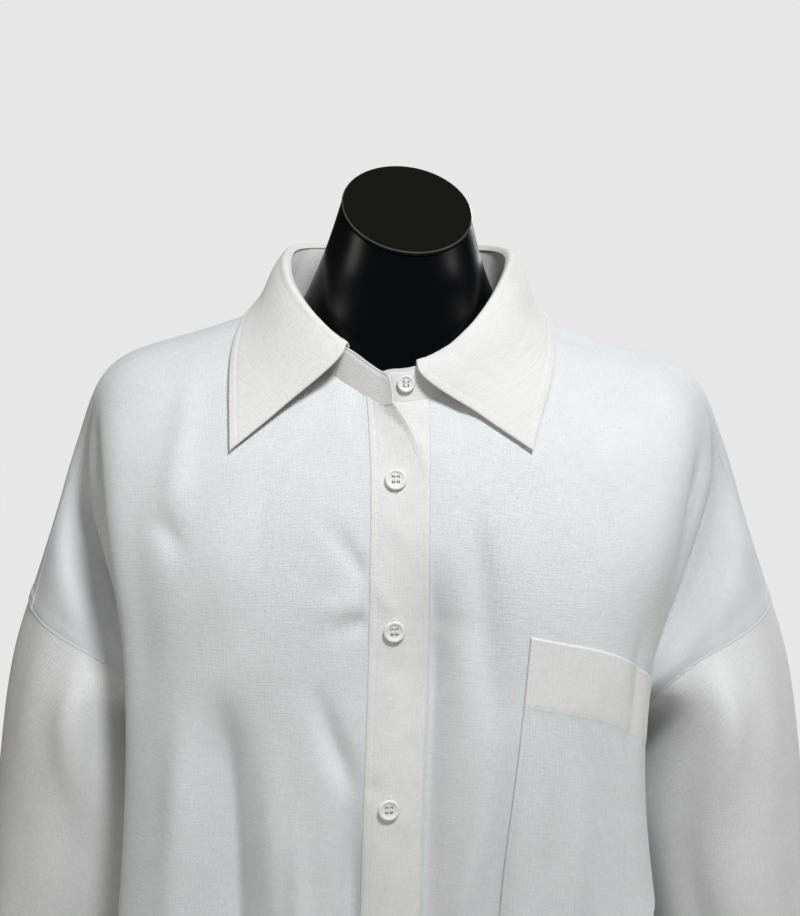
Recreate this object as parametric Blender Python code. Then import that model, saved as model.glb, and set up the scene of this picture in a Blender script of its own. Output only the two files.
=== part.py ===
"""An oversized shirt worn by a limbless dress form, with the collar open at the neck.

The shirt hangs from the shoulders of the form. Its cloth is one draped surface, worked out from
a ridge along the shoulders and a few level sections, and each sewn piece is a stretch of that
surface given the thickness of its cloth. Tables are in millimetres, with heights counted from
the point where the shoulder meets the side of the neck. x runs to the wearer's left, y to the back.
"""

import math

import bmesh
import bpy
import numpy as np
from mathutils import Matrix, Vector

MM = 0.001

# Overall sizes
NECK_POINT_HEIGHT = 830.0  # side of the neck above the floor
CLOTH = 1.0  # one ply with its turned edges
STIFF_CLOTH = 1.4  # two plies with interlining: collar, cuffs, plackets
SEAM_GAP = 0.3
LAYER_GAP = 0.4

# Colours, as linear red, green, blue
SHIRT_WHITE = (0.78, 0.80, 0.82)
BUTTON_WHITE = (0.84, 0.84, 0.82)
FORM_BLACK = (0.012, 0.012, 0.014)
STAND_BLACK = (0.03, 0.03, 0.03)

# The shoulder ridge, from the middle of the neck to the tip of the shoulder.
# across: distance along the cloth from the centre front; x and z: where the ridge lies, on the
# wearer's right and left
RIDGE_COLUMNS = ("across", "x", "right_z", "left_z")
RIDGE = (
    (0.0, 0.0, 18.0, 18.0),
    (60.0, 60.0, 7.0, 5.0),
    (120.0, 118.0, -12.0, -19.0),
    (190.0, 185.0, -39.0, -43.0),
)
HALF_WIDTH = 340.0  # centre front to the armhole seam and to the side seam
FOLD_EDGE = 190.0  # where the front turns back towards the armpit

# Level sections of the front and of the back, from the fullest level of the chest to the hem.
# centre, chest, bust: how far the cloth stands forward at 0, 60 and 120 mm across;
# edge_*: the fold where it turns back; sway: how far the centre hangs off the middle
SECTION_COLUMNS = ("level", "centre", "chest", "bust", "edge_right", "edge_left", "edge_out", "sway")
FRONT_SECTIONS = (
    (-195.0, 126.0, 129.0, 123.0, 165.0, 149.0, 92.0, -2.0),
    (-288.0, 140.0, 138.0, 128.0, 167.0, 147.0, 94.0, -5.0),
    (-420.0, 142.0, 141.0, 133.0, 178.0, 164.0, 97.0, -8.0),
    (-570.0, 142.0, 142.0, 136.0, 187.0, 180.0, 102.0, -10.0),
    (-740.0, 142.0, 143.0, 140.0, 198.0, 196.0, 110.0, -11.0),
)
BACK_SECTIONS = (
    (-180.0, 98.0, 102.0, 99.0, 166.0, 160.0, 74.0, 0.0),
    (-288.0, 103.0, 106.0, 103.0, 168.0, 160.0, 78.0, 0.0),
    (-420.0, 108.0, 110.0, 107.0, 178.0, 170.0, 84.0, 0.0),
    (-570.0, 120.0, 121.0, 118.0, 188.0, 184.0, 92.0, 0.0),
    (-740.0, 126.0, 127.0, 124.0, 199.0, 197.0, 98.0, 0.0),
)
# Behind the fold, on the last three levels: the hollow, the side of the body, the side seam
SIDE_COLUMNS = ("valley", "valley_out", "swell", "swell_out", "side")
SIDES = (
    (150.0, 46.0, 143.0, 20.0, 146.0),
    (174.0, 50.0, 171.0, 22.0, 174.0),
    (196.0, 56.0, 197.0, 26.0, 201.0),
)
GUIDES = (0.0, 60.0, 120.0, FOLD_EDGE, 236.0, 290.0, HALF_WIDTH)
CHEST_X = {60.0: 58.0, 120.0: 113.0}
SWAY_SHARE = {60.0: 0.7, 120.0: 0.3}  # how much of the centre's sway the chest and the bust take
DOME_STEPS = 4  # rows from the ridge down to the first section
ARMPIT_ROW = 5
HEM_ROW = 8
FRONT_FULLNESS = {0.0: 1.3, 60.0: 1.27, 120.0: 1.22, FOLD_EDGE: 1.2}
BACK_FULLNESS = {0.0: 0.72, 60.0: 0.75, 120.0: 0.85, FOLD_EDGE: 1.0}

# Cloth that drops past the tip of the shoulder, row by row from the ridge to the armpit.
# The valley lies behind the front fold, the swell is the front of the sleeve, the seam is the armhole
DROP_COLUMNS = (
    "valley_x", "valley_out", "valley_z", "swell_x", "swell_out", "swell_z",
    "seam_x", "seam_out", "seam_z",
)
DROP = (
    (205.0, 0.0, -84.0, 222.0, 0.0, -137.0, 240.0, 0.0, -187.0),
    (199.0, 10.0, -104.0, 217.0, 28.0, -146.0, 226.0, 40.0, -191.0),
    (189.0, 19.0, -130.0, 206.0, 46.0, -165.0, 206.0, 57.0, -199.0),
    (172.0, 36.0, -172.0, 184.0, 55.0, -195.0, 184.0, 62.0, -211.0),
    (152.0, 62.0, -224.0, 153.0, 56.0, -233.0, 158.0, 51.0, -239.0),
    (143.0, 48.0, -288.0, 139.0, 24.0, -284.0, 141.0, 0.0, -280.0),
)

# Largest folds: across the cloth at the top and at the hem, the rows where each starts, is fullest
# and ends (negative at the front), how far it stands out, and half its width
FOLD_COLUMNS = ("top", "foot", "start", "full", "end", "out", "width")
FOLDS = (
    (-126.0, -172.0, -3.6, -6.0, -12.0, 9.0, 24.0),
    (-88.0, -118.0, -3.8, -6.0, -12.0, -10.0, 20.0),
    (-48.0, -52.0, -4.0, -6.4, -12.0, 4.0, 20.0),
    (46.0, 40.0, -4.0, -6.2, -12.0, -8.0, 18.0),
    (84.0, 82.0, -3.8, -6.2, -12.0, 7.0, 22.0),
    (128.0, 124.0, -4.0, -6.4, -12.0, -6.0, 20.0),
    (160.0, 170.0, -4.4, -6.6, -12.0, 5.0, 18.0),
    (-216.0, -212.0, -0.6, -2.0, -4.4, 6.0, 11.0),
    (214.0, 212.0, -0.6, -2.0, -4.4, 7.0, 11.0),
    (-150.0, -166.0, 3.0, 5.6, 12.0, 9.0, 22.0),
    (-104.0, -112.0, 3.4, 6.0, 12.0, -9.0, 20.0),
    (-52.0, -58.0, 3.6, 6.2, 12.0, 7.0, 24.0),
    (4.0, 8.0, 3.4, 6.4, 12.0, -7.0, 20.0),
    (58.0, 64.0, 3.6, 6.0, 12.0, 8.0, 24.0),
    (108.0, 118.0, 3.2, 6.2, 12.0, -8.0, 20.0),
    (152.0, 168.0, 3.0, 5.8, 12.0, 8.0, 22.0),
    (-214.0, -212.0, 0.6, 2.0, 4.4, 5.0, 12.0),
    (214.0, 212.0, 0.6, 2.0, 4.4, 5.0, 12.0),
)
NORMAL_STEP = 0.6  # distance across over which a surface's direction is read
NORMAL_ROWS = 0.02

# Neckline and yoke
NECK_HALF_WIDTH = 72.0
NECK_FRONT_ROW = 1.96
NECK_BACK_ROW = 1.3
YOKE_FRONT_ROW = 0.6
YOKE_BACK_ROWS = ((0.0, 2.9), (120.0, 2.72), (FOLD_EDGE, 2.42), (HALF_WIDTH, 1.1))
YOKE_BACK_TURN = math.radians(84.0)  # the stretch of neckline that the back seam lies behind
YOKE_SIDE_STEPS = 5
NECK_INWARD_STEP = 0.004
NECK_CORNER = math.acos(-YOKE_FRONT_ROW / NECK_FRONT_ROW)
OUTER_COLUMNS = (
    80.0, 98.0, 120.0, 144.0, 168.0, 190.0, 206.0, 222.0, 240.0, 258.0, 280.0, 302.0, 322.0,
)
HEM_RISE = 0.32  # how far the curved hem rises at the side seams, in rows
HEM_LEVEL_WIDTH = 120.0
HEM_POWER = 1.2
FRONT_EDGE_STEPS = 13
BACK_EDGE_STEPS = 11
SIDE_SEAM_STEPS = 8
# Columns of a front lean with the sides of the pocket, over these rows, and fade beside it
LEAN_START_ROW = 3.0
LEAN_ROWS = 4.0
LEAN_FADE = 60.0

# Front opening
BAND_HALF_WIDTH = 17.5
OVERLAP_LIFT = CLOTH + LAYER_GAP
OVERLAP_FADE = 70.0
OPEN_SHIFT = 18.0  # the unbuttoned neck lets the top of the band swing out to the wearer's right
OPEN_FORWARD = 12.0
OPEN_END_ROW = 3.1
OPEN_FADE = 46.0
OPEN_POWER = 1.5
OPEN_PEAK = 1.15
PLACKET_COLUMNS = 5
BUTTON_OFFSET = -2.5

# Buttons
BUTTON_RADIUS = 6.3
SMALL_BUTTON_RADIUS = 5.2
BUTTON_HEIGHT = 2.4
BUTTON_LEVELS = (-84.5, -168.5, -272.5, -368.0, -463.0, -558.0)
BUTTON_SIDES = 14
BUTTON_LIFT = 0.3
BUTTON_PROFILE_COLUMNS = ("radius_share", "height_share")
BUTTON_PROFILE = (
    (0.80, 0.0),
    (1.0, 0.40),
    (1.0, 0.75),
    (0.88, 1.0),
    (0.66, 0.78),
)
COLLAR_BUTTON_HEIGHT = 10.0  # above the foot of the stand
COLLAR_BUTTON_TURN = math.pi - 0.05

# Collar: height and inward lean of the stand, from the right front round the back to the left
STAND_COLUMNS = ("share", "height", "lean")
STAND = (
    (-1.0, 18.0, 0.22),
    (-0.88, 21.0, 0.06),
    (-0.7, 25.0, -0.07),
    (-0.5, 31.0, 0.08),
    (-0.25, 36.0, -0.16),
    (0.0, 39.0, -0.14),
    (0.25, 36.0, -0.16),
    (0.5, 31.0, 0.14),
    (0.8, 23.0, 0.20),
    (1.0, 19.0, 0.22),
)
STAND_TAIL_RADIUS = 17.0
STAND_TAIL_SHARE = 0.25  # height left at the very tip of a rounded end
STAND_CLEARANCE = 0.3
STAND_BEND_TURN = 2.9  # the ends past this angle get closer columns
FALL_ROLL = 2.7  # radius of the fold at the top of the collar
FALL_LIFT = 2.4  # outer edge above the cloth it lies on
FALL_BULGE = -1.5
FALL_MIDDLE_SHARE = 0.55
FALL_KNOTS = (0.0, 0.06, 0.13, 0.55, 1.0)
FALL_STEPS = (0.0, 0.04, 0.09, 0.16, 0.34, 0.62, 1.0)
# Outer edge of the fall: share of the neckline, distance across and row on the drape
FALL_EDGE_COLUMNS = ("share", "across", "row")
FALL_EDGE = (
    (-0.895, -101.0, -2.1),
    (-0.66, -110.0, -1.1),
    (-0.45, -97.0, 0.0),
    (-0.25, -76.0, 1.45),
    (0.0, 0.0, 2.12),
    (0.25, 76.0, 1.45),
    (0.45, 93.0, 0.0),
    (0.68, 97.0, -1.1),
    (0.955, 76.0, -2.13),
)

# Breast pocket, on the wearer's left: share of its width, and the levels of its top and foot
POCKET_TOP = 80.0
POCKET_FOOT = 60.0
POCKET_WIDTH = 126.0
POCKET_COLUMNS = ("share", "top", "foot")
POCKET = (
    (0.0, -171.0, -350.0),
    (0.5, -186.0, -372.0),
    (1.0, -214.0, -352.0),
)

# Sleeve rings below the armhole: level, centre, half width, half depth
SLEEVE_COLUMNS = ("level", "centre", "half_width", "half_depth", "middle_y")
SLEEVE_RINGS = (
    (-335.0, 209.0, 60.0, 73.0, 0.0),
    (-440.0, 226.0, 60.0, 70.0, 4.0),
    (-560.0, 249.0, 55.0, 62.0, 8.0),
    (-628.0, 257.0, 47.0, 54.0, 10.0),
    (-652.0, 259.0, 38.0, 45.0, 10.0),
)
CUFF_TOP = -652.6
CUFF_FOOT = -716.0
CUFF_HALF_WIDTH = 37.0
CUFF_HALF_DEPTH = 44.0
CUFF_CENTRE = 260.0
CUFF_MIDDLE_Y = 10.0
CUFF_OVERLAP = 22.0
CUFF_START = 40.0
CUFF_LAP_START = 0.80
CUFF_LAP_RUN = 0.18
CUFF_STEPS = 31
# Under the arm the sleeve is set at right angles to the body, from this row over so many rows
TUCK_ROW = 4.0
TUCK_ROWS = 0.8
SET_OFF = 21.0  # how far the sleeve first runs straight on, over the shoulder and under the arm
SET_OFF_UNDER = 9.0
SET_OFF_ROW = 2.6
SET_OFF_ROWS = 1.4
ARMHOLE_LEVEL = -187.0
SLEEVE_LENGTH = 465.0
SLEEVE_SET_OFF_SHARE = 0.045
SLEEVE_STEPS = (0.0, 0.03, 0.07, 0.13, 0.22, 0.33, 0.46, 0.6, 0.74, 0.86, 0.94, 1.0)

# Dress form
FORM_GAP = 0.45
FORM_TIP = 184.0
FORM_SECTION_COLUMNS = ("level", "half_width", "front", "back")
FORM_SECTIONS = (
    (-190.0, 139.0, 110.0, 84.0),
    (-285.0, 126.0, 92.0, 80.0),
    (-390.0, 114.0, 84.0, 72.0),
    (-500.0, 142.0, 96.0, 90.0),
    (-570.0, 156.0, 98.0, 100.0),
    (-622.0, 152.0, 92.0, 96.0),
)
FORM_RIDGE_ROWS = (0.0, 0.35, 0.8, 1.4, 2.1, 2.9)
FORM_LEVELS = (-190.0, -236.0, -285.0, -337.0, -390.0, -445.0, -500.0, -548.0, -590.0, -612.0)
FORM_FOOT_EDGE = ((3.0, 7.0), (10.0, 10.0))  # how far in and how far down its rounded foot runs
FORM_FOOT_RADIUS = 150.0
FORM_SQUARENESS = 0.86  # power of sine and cosine in a section: 1 is an ellipse
RIDGE_SQUARENESS = 0.9
RIDGE_DIP = 1.6  # the ridge drops this much at the very tip of the shoulder
RIDGE_DIP_POWER = 8
FORM_FRONT_POWER = 1.35
FORM_BACK_POWER = 0.84
FORM_SIDES = 44
NECK_COLUMNS = ("level", "half_width", "half_depth", "middle_y")
NECK = (
    (-70.0, 96.0, 76.0, -2.0),
    (-22.0, 78.0, 66.0, -4.0),
    (-4.0, 67.0, 59.0, -5.0),
    (12.0, 58.0, 53.0, -6.0),
)
CAP_HALF_WIDTH = 40.0
CAP_HALF_LENGTH = 44.0
CAP_THICKNESS = 3.0
CAP_CENTRE = (4.0, -12.0, 62.0)
CAP_PITCH = 31.0
CAP_ROLL = 8.0
CAP_PROFILE_COLUMNS = ("inset", "height")
CAP_PROFILE = ((0.8, 0.0), (-0.2, 0.8), (-0.2, 2.0), (1.2, CAP_THICKNESS))
CAP_GAP = 0.2
NECK_WAIST = 1.2  # the neck draws in this much below the rim
NECK_SIDES = 36
POLE_RADIUS = 13.0
BASE_RADIUS = 150.0
BASE_THICKNESS = 14.0
BASE_EDGE = 4.0
BASE_EDGE_SHARE = 0.6
POLE_TOP = 622.0
POLE_GAP = 0.2
POLE_SIDES = 24
BASE_SIDES = 56


def clear_scene():
    for thing in list(bpy.data.objects):
        bpy.data.objects.remove(thing)


def material(name, colour, roughness, metallic=0.0):
    made = bpy.data.materials.new(name)
    made.use_nodes = True
    shader = made.node_tree.nodes["Principled BSDF"]
    shader.inputs["Base Color"].default_value = (*colour, 1.0)
    shader.inputs["Roughness"].default_value = roughness
    shader.inputs["Metallic"].default_value = metallic
    made.diffuse_color = (*colour, 1.0)
    return made


def curve_through(knots, values, at):
    """Smooth curve through values at the knots: a cubic in each span, with three-point slopes."""
    knots = np.asarray(knots, float)
    values = np.asarray(values, float)
    flat = values.reshape(len(knots), -1)
    at = np.asarray(at, float)
    step = np.diff(knots)
    slope = np.diff(flat, axis=0) / step[:, None]
    tangent = np.empty_like(flat)
    tangent[0], tangent[-1] = slope[0], slope[-1]
    near, far = step[:-1, None], step[1:, None]
    tangent[1:-1] = (far * slope[:-1] + near * slope[1:]) / (near + far)
    span = np.clip(np.searchsorted(knots, at.ravel(), side="right") - 1, 0, len(step) - 1)
    width = step[span][:, None]
    t = (at.ravel() - knots[span])[:, None] / width
    inside = np.clip(t, 0.0, 1.0)
    past = (t - inside) * width
    made = (
        flat[span] * (1 + 2 * inside) * (1 - inside) ** 2
        + tangent[span] * width * inside * (1 - inside) ** 2
        + flat[span + 1] * inside**2 * (3 - 2 * inside)
        + tangent[span + 1] * width * inside**2 * (inside - 1)
    )
    made += past * np.where(t < 0, tangent[span], tangent[span + 1])
    return made.reshape(*at.shape, *values.shape[1:])


def ease(t):
    """Smooth step from 0 to 1."""
    t = np.clip(t, 0.0, 1.0)
    return t * t * (3 - 2 * t)


def named(table, columns):
    """Rows of a table as dicts by column name."""
    return [dict(zip(columns, row)) for row in table]


def net_row(side, front, row):
    """Points of one row of the drape at the guides, from the centre to the armhole or side seam."""
    sections = named(FRONT_SECTIONS if front else BACK_SECTIONS, SECTION_COLUMNS)
    forward = -1.0 if front else 1.0
    edge = "edge_left" if side > 0 else "edge_right"
    ridge_z = "left_z" if side > 0 else "right_z"
    first = sections[0]
    points = []
    if row < DOME_STEPS:
        turn = 0.5 * math.pi * row / DOME_STEPS
        outs = (first["centre"], first["chest"], first["bust"], first["edge_out"])
        for across, out in zip(GUIDES[:4], outs):
            top = next(r for r in named(RIDGE, RIDGE_COLUMNS) if r["across"] == across)
            foot_x = first[edge] if across == FOLD_EDGE else CHEST_X.get(across, 0.0)
            fullness = (FRONT_FULLNESS if front else BACK_FULLNESS)[across]
            x = top["x"] + (foot_x - top["x"]) * (1 - math.cos(turn))
            z = top[ridge_z] + (first["level"] - top[ridge_z]) * (1 - math.cos(turn))
            points.append((side * x, forward * out * math.sin(turn) ** fullness, z))
    else:
        section = sections[row - DOME_STEPS]
        sway = section["sway"]
        chest_x, bust_x = (side * CHEST_X[g] + SWAY_SHARE[g] * sway for g in (60.0, 120.0))
        points.append((sway, forward * section["centre"], section["level"]))
        points.append((chest_x, forward * section["chest"], section["level"]))
        points.append((bust_x, forward * section["bust"], section["level"]))
        points.append((side * section[edge], forward * section["edge_out"], section["level"]))
    if row <= ARMPIT_ROW:
        drop = dict(zip(DROP_COLUMNS, DROP[row]))
        for part in ("valley", "swell", "seam"):
            points.append((side * drop[part + "_x"], forward * drop[part + "_out"], drop[part + "_z"]))
    else:
        level = section["level"]
        flank = dict(zip(SIDE_COLUMNS, SIDES[row - ARMPIT_ROW - 1]))
        points.append((side * flank["valley"], forward * flank["valley_out"], level))
        points.append((side * flank["swell"], forward * flank["swell_out"], level))
        points.append((side * flank["side"], 0.0, level))
    return points


def drape_net():
    """Rows from the front hem over the shoulders to the back hem, guides from right to left."""
    rows = []
    for row in range(-HEM_ROW, HEM_ROW + 1):
        front = row < 0
        right = net_row(-1.0, front, abs(row))
        left = net_row(1.0, front, abs(row))
        rows.append(right[:0:-1] + left)
    return np.array(rows)


NET = drape_net()
NET_ROWS = np.arange(-HEM_ROW, HEM_ROW + 1, dtype=float)
NET_GUIDES = np.array([-g for g in GUIDES[:0:-1]] + list(GUIDES))


def bare_drape(across, row):
    """The draped cloth without its folds, at any distance across and any row."""
    by_row = curve_through(NET_ROWS, np.eye(len(NET_ROWS)), row.ravel())
    by_guide = curve_through(NET_GUIDES, np.eye(len(NET_GUIDES)), across.ravel())
    made = np.einsum("mr,mg,rgk->mk", by_row, by_guide, NET)
    side = np.where(across.ravel() < 0, by_row @ NET[:, 0, 1], by_row @ NET[:, -1, 1])
    near_side = ease((np.abs(across.ravel()) - GUIDES[-2]) / (HALF_WIDTH - GUIDES[-2]))
    below = (np.abs(row.ravel()) > ARMPIT_ROW) * near_side
    made[:, 1] -= side * below  # below the armpit the side seam keeps to the middle of the body
    return made.reshape(*across.shape, 3)


def outwards(surface, across, row):
    """Unit normals of a surface, pointing away from the body."""
    along = surface(across + NORMAL_STEP, row) - surface(across - NORMAL_STEP, row)
    down = surface(across, row + NORMAL_ROWS) - surface(across, row - NORMAL_ROWS)
    normal = np.cross(along, down)
    return normal / np.linalg.norm(normal, axis=-1, keepdims=True)


def fold_height(across, row):
    """How far the folds stand out: each is a bell across the cloth that swells and dies along it."""
    height = np.zeros(across.shape)
    for fold in named(FOLDS, FOLD_COLUMNS):
        face = math.copysign(1.0, fold["full"])
        along = row * face
        start, full, end = (abs(fold[k]) for k in ("start", "full", "end"))
        swell = ease((along - start) / (full - start)) * (1 - ease((along - full) / (end - full)))
        middle = fold["top"] + (fold["foot"] - fold["top"]) * (along - start) / (HEM_ROW - start)
        bell = np.exp(-(((across - middle) / fold["width"]) ** 2))
        height += np.where(along > start, fold["out"] * swell * bell, 0.0)
    return height


def drape(across, row):
    """The inner face of the shirt's cloth."""
    normal = outwards(bare_drape, across, row)
    return bare_drape(across, row) + normal * fold_height(across, row)[..., None]


def open_neck(across, row):
    """How the unbuttoned upper front leans away, on the side that laps over."""
    reach = np.clip((OPEN_END_ROW + row) / (OPEN_END_ROW - NECK_FRONT_ROW), 0.0, 1.2) ** OPEN_POWER
    reach = reach * ease((across - BAND_HALF_WIDTH + OPEN_FADE) / (1.3 * OPEN_FADE))
    reach = reach * OPEN_PEAK * (row < 0)
    return np.stack([-OPEN_SHIFT * reach, -OPEN_FORWARD * reach, 0.0 * reach], axis=-1)


def lapped_drape(across, row):
    """The inner face on the side that laps over: lifted clear of the under side, and open at the neck."""
    lift = OVERLAP_LIFT * ease((across + BAND_HALF_WIDTH + OVERLAP_FADE) / OVERLAP_FADE)
    lift = lift * (row < 0)
    base = drape(across, row) + outwards(bare_drape, across, row) * lift[..., None]
    return base + open_neck(across, row)


def neck_row(across):
    """Row of the front neckline at a distance across."""
    return -NECK_FRONT_ROW * np.sqrt(np.clip(1 - (across / NECK_HALF_WIDTH) ** 2, 0, 1))


def neckline(turn):
    """The neckline by its angle from the centre back, as distance across and row."""
    across = NECK_HALF_WIDTH * np.sin(turn)
    depth = np.where(np.cos(turn) > 0, NECK_BACK_ROW, NECK_FRONT_ROW)
    return across, depth * np.cos(turn)


def yoke_back_row(across):
    """Row of the seam between the yoke and the back."""
    table = np.array(YOKE_BACK_ROWS)
    return curve_through(table[:, 0], table[:, 1], np.abs(across))


def hem_row(across):
    """Row of the hem, which rises in a soft curve to the side seams."""
    beside = ease((np.abs(across) - HEM_LEVEL_WIDTH) / (HALF_WIDTH - HEM_LEVEL_WIDTH))
    return HEM_ROW - HEM_RISE * beside**HEM_POWER


def grid_normals(points, closed):
    """Unit normals of a grid of points, along the first axis and down the second."""
    if closed:
        along = np.roll(points, -1, axis=0) - np.roll(points, 1, axis=0)
    else:
        along = np.gradient(points, axis=0)
    normal = np.cross(along, np.gradient(points, axis=1))
    return normal / np.linalg.norm(normal, axis=-1, keepdims=True)


def link(name, verts, faces, finish, place=None):
    mesh = bpy.data.meshes.new(name)
    mesh.from_pydata((np.asarray(verts, float) * MM).tolist(), [], faces)
    mesh.shade_smooth()
    mesh.set_sharp_from_angle(angle=math.radians(50.0))
    made = bpy.data.objects.new(name, mesh)
    bpy.context.scene.collection.objects.link(made)
    made.data.materials.append(finish)
    if place is not None:
        made.matrix_world = place
    return made


def shell(name, inner, outer, finish, closed=False):
    """A sewn piece: two grids of points, its inner and outer faces, joined round the edges."""
    count, depth = inner.shape[:2]
    size = count * depth
    index = np.arange(size).reshape(count, depth)
    faces = []
    for i in range(count if closed else count - 1):
        after = (i + 1) % count
        for j in range(depth - 1):
            a, b, c, d = index[i, j], index[after, j], index[after, j + 1], index[i, j + 1]
            faces.append((a, d, c, b))
            faces.append((a + size, b + size, c + size, d + size))
        a, b = index[i, 0], index[after, 0]
        faces.append((a, b, b + size, a + size))
        a, b = index[i, -1], index[after, -1]
        faces.append((b, a, a + size, b + size))
    if not closed:
        for j in range(depth - 1):
            a, b = index[0, j], index[0, j + 1]
            faces.append((b, a, a + size, b + size))
            a, b = index[-1, j], index[-1, j + 1]
            faces.append((a, b, b + size, a + size))
    verts = np.concatenate([inner.reshape(-1, 3), outer.reshape(-1, 3)])
    faces = [[int(v) for v in face] for face in faces]
    lift = np.array((0.0, 0.0, NECK_POINT_HEIGHT))
    facing_out = np.cross(np.diff(inner, axis=0)[:, :-1], np.diff(inner, axis=1)[:-1])
    if np.sum(facing_out * (outer - inner)[:-1, :-1]) < 0:
        faces = [face[::-1] for face in faces]
    return link(name, verts + lift, faces, finish)


def on_drape(name, surface, across, row, height, thickness, finish):
    """A piece that is a stretch of the drape, raised by a height."""
    normal = outwards(surface, across, row)
    base = surface(across, row)
    return shell(name, base + normal * height, base + normal * (height + thickness), finish)


def strip(columns, top, foot, share):
    """Grid of distances across and rows: each column runs from its top row to its foot row."""
    across = np.repeat(columns[:, None], len(share), axis=1)
    row = top[:, None] + (foot - top)[:, None] * share
    return across, row


def edge_rows(top):
    """Rows down the armhole and the side seam, counted from the ridge; one falls on the armpit."""
    steps = FRONT_EDGE_STEPS if top == YOKE_FRONT_ROW else BACK_EDGE_STEPS
    above = np.linspace(top, ARMPIT_ROW, steps)
    return np.concatenate([above, np.linspace(ARMPIT_ROW, HEM_ROW - HEM_RISE, SIDE_SEAM_STEPS)[1:]])


def edge_shares(top):
    """The rows of edge_rows as shares of the way down."""
    rows = edge_rows(top)
    return (rows - rows[0]) / (rows[-1] - rows[0])


def front_columns():
    """Distances across a front: from the placket along the neckline, then out to the armhole."""
    inner = BAND_HALF_WIDTH + 0.5 * SEAM_GAP
    turns = np.linspace(math.asin(inner / NECK_HALF_WIDTH), math.pi - NECK_CORNER, 5)
    outer = np.array(OUTER_COLUMNS + (HALF_WIDTH,))
    return np.concatenate([NECK_HALF_WIDTH * np.sin(turns), outer])


def back_columns():
    """Distances across the back, from armhole to armhole."""
    drop = np.linspace(FOLD_EDGE, HALF_WIDTH, 7)[1:]
    half = np.concatenate([np.linspace(0.0, FOLD_EDGE, 9), drop])
    return np.concatenate([-half[:0:-1], half])


def grain(columns, row):
    """Columns of a front, leaning with the sides of the pocket."""
    columns = np.broadcast_to(columns, row.shape)
    size = np.abs(columns)
    window = ease((size - BAND_HALF_WIDTH) / (POCKET_TOP - BAND_HALF_WIDTH))
    window = window * (1 - ease((size - POCKET_TOP - POCKET_WIDTH) / LEAN_FADE))
    lean = (POCKET_TOP - POCKET_FOOT) * ease((-row - LEAN_START_ROW) / LEAN_ROWS) * (row < 0)
    return columns - np.sign(columns) * window * lean


def half_gap_across(row):
    """Half the seam gap at the armhole and side seams, as distance across."""
    edge = np.full_like(row, HALF_WIDTH)
    length = np.linalg.norm(bare_drape(edge, row) - bare_drape(edge - 2.0, row), axis=-1)
    return SEAM_GAP * np.clip(2.0 / length, 1.0, 3.0)


def trimmed(across, row):
    """The same grid with its outermost columns drawn back from the seam."""
    edge = HALF_WIDTH - half_gap_across(row)
    return np.clip(across, -edge, edge)


def gap_in_rows(across, row):
    """The seam gap counted in rows, which are closer together over the shoulder."""
    small = 0.05
    length = np.linalg.norm(bare_drape(across, row + small) - bare_drape(across, row - small), axis=-1)
    return 1.6 * SEAM_GAP * 2 * small / length


def front_panel(name, side, finish):
    """A front: from the placket out to the armhole, and from the neckline or yoke to the hem."""
    columns = front_columns() * side
    top = -np.maximum(-neck_row(columns), YOKE_FRONT_ROW)
    top = top - gap_in_rows(columns, top)
    _, row = strip(columns, top, -hem_row(columns), edge_shares(YOKE_FRONT_ROW))
    surface = drape if side > 0 else lapped_drape
    across = trimmed(grain(columns[:, None], row), row)
    return on_drape(name, surface, across, row, 0.0, CLOTH, finish)


def back_panel(finish):
    """The back, from the yoke seam to the hem."""
    columns = back_columns()
    top = yoke_back_row(columns)
    top = top + gap_in_rows(columns, top)
    across, row = strip(columns, top, hem_row(columns), edge_shares(YOKE_BACK_ROWS[-1][1]))
    return on_drape("back", drape, trimmed(across, row), row, 0.0, CLOTH, finish)


def yoke_side_rows():
    """Rows of the yoke along the armhole, from the back seam to the front seam."""
    return np.linspace(YOKE_BACK_ROWS[-1][1], -YOKE_FRONT_ROW, YOKE_SIDE_STEPS)


def yoke(finish):
    """From the neckline out: the sides are the front yoke seams, the outer edge is the back seam."""
    back = back_columns()
    past = np.linspace(YOKE_BACK_TURN, NECK_CORNER, YOKE_SIDE_STEPS)[1:]
    turns = np.concatenate([-past[::-1], back / HALF_WIDTH * YOKE_BACK_TURN, past])
    side_rows = yoke_side_rows()[1:]
    edge = np.full(YOKE_SIDE_STEPS - 1, HALF_WIDTH)
    outer_across = np.concatenate([-edge, back, edge])
    outer_row = np.concatenate([side_rows[::-1], yoke_back_row(back), side_rows])
    inner_across, inner_row = neckline(turns)
    columns = front_columns()[4:]
    share = (columns - columns[0]) / (columns[-1] - columns[0])
    across = inner_across[:, None] + (outer_across - inner_across)[:, None] * share
    row = inner_row[:, None] + (outer_row - inner_row)[:, None] * share
    return on_drape("yoke", drape, trimmed(across, row), row, 0.0, CLOTH, finish)


def placket(name, surface, finish):
    """A straight band down the front opening."""
    columns = np.linspace(-BAND_HALF_WIDTH, BAND_HALF_WIDTH, PLACKET_COLUMNS)
    foot = np.full(PLACKET_COLUMNS, -float(HEM_ROW))
    across, row = strip(columns, neck_row(columns), foot, edge_shares(YOKE_FRONT_ROW))
    return on_drape(name, surface, across, row, 0.0, CLOTH, finish)


def row_at_level(across, level):
    """Row of the front at a height, for one distance across, read off the drape."""
    rows = np.linspace(-HEM_ROW, -1.0, 300)
    heights = drape(np.full_like(rows, across), rows)[:, 2]
    return float(np.interp(level, heights, rows))


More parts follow.
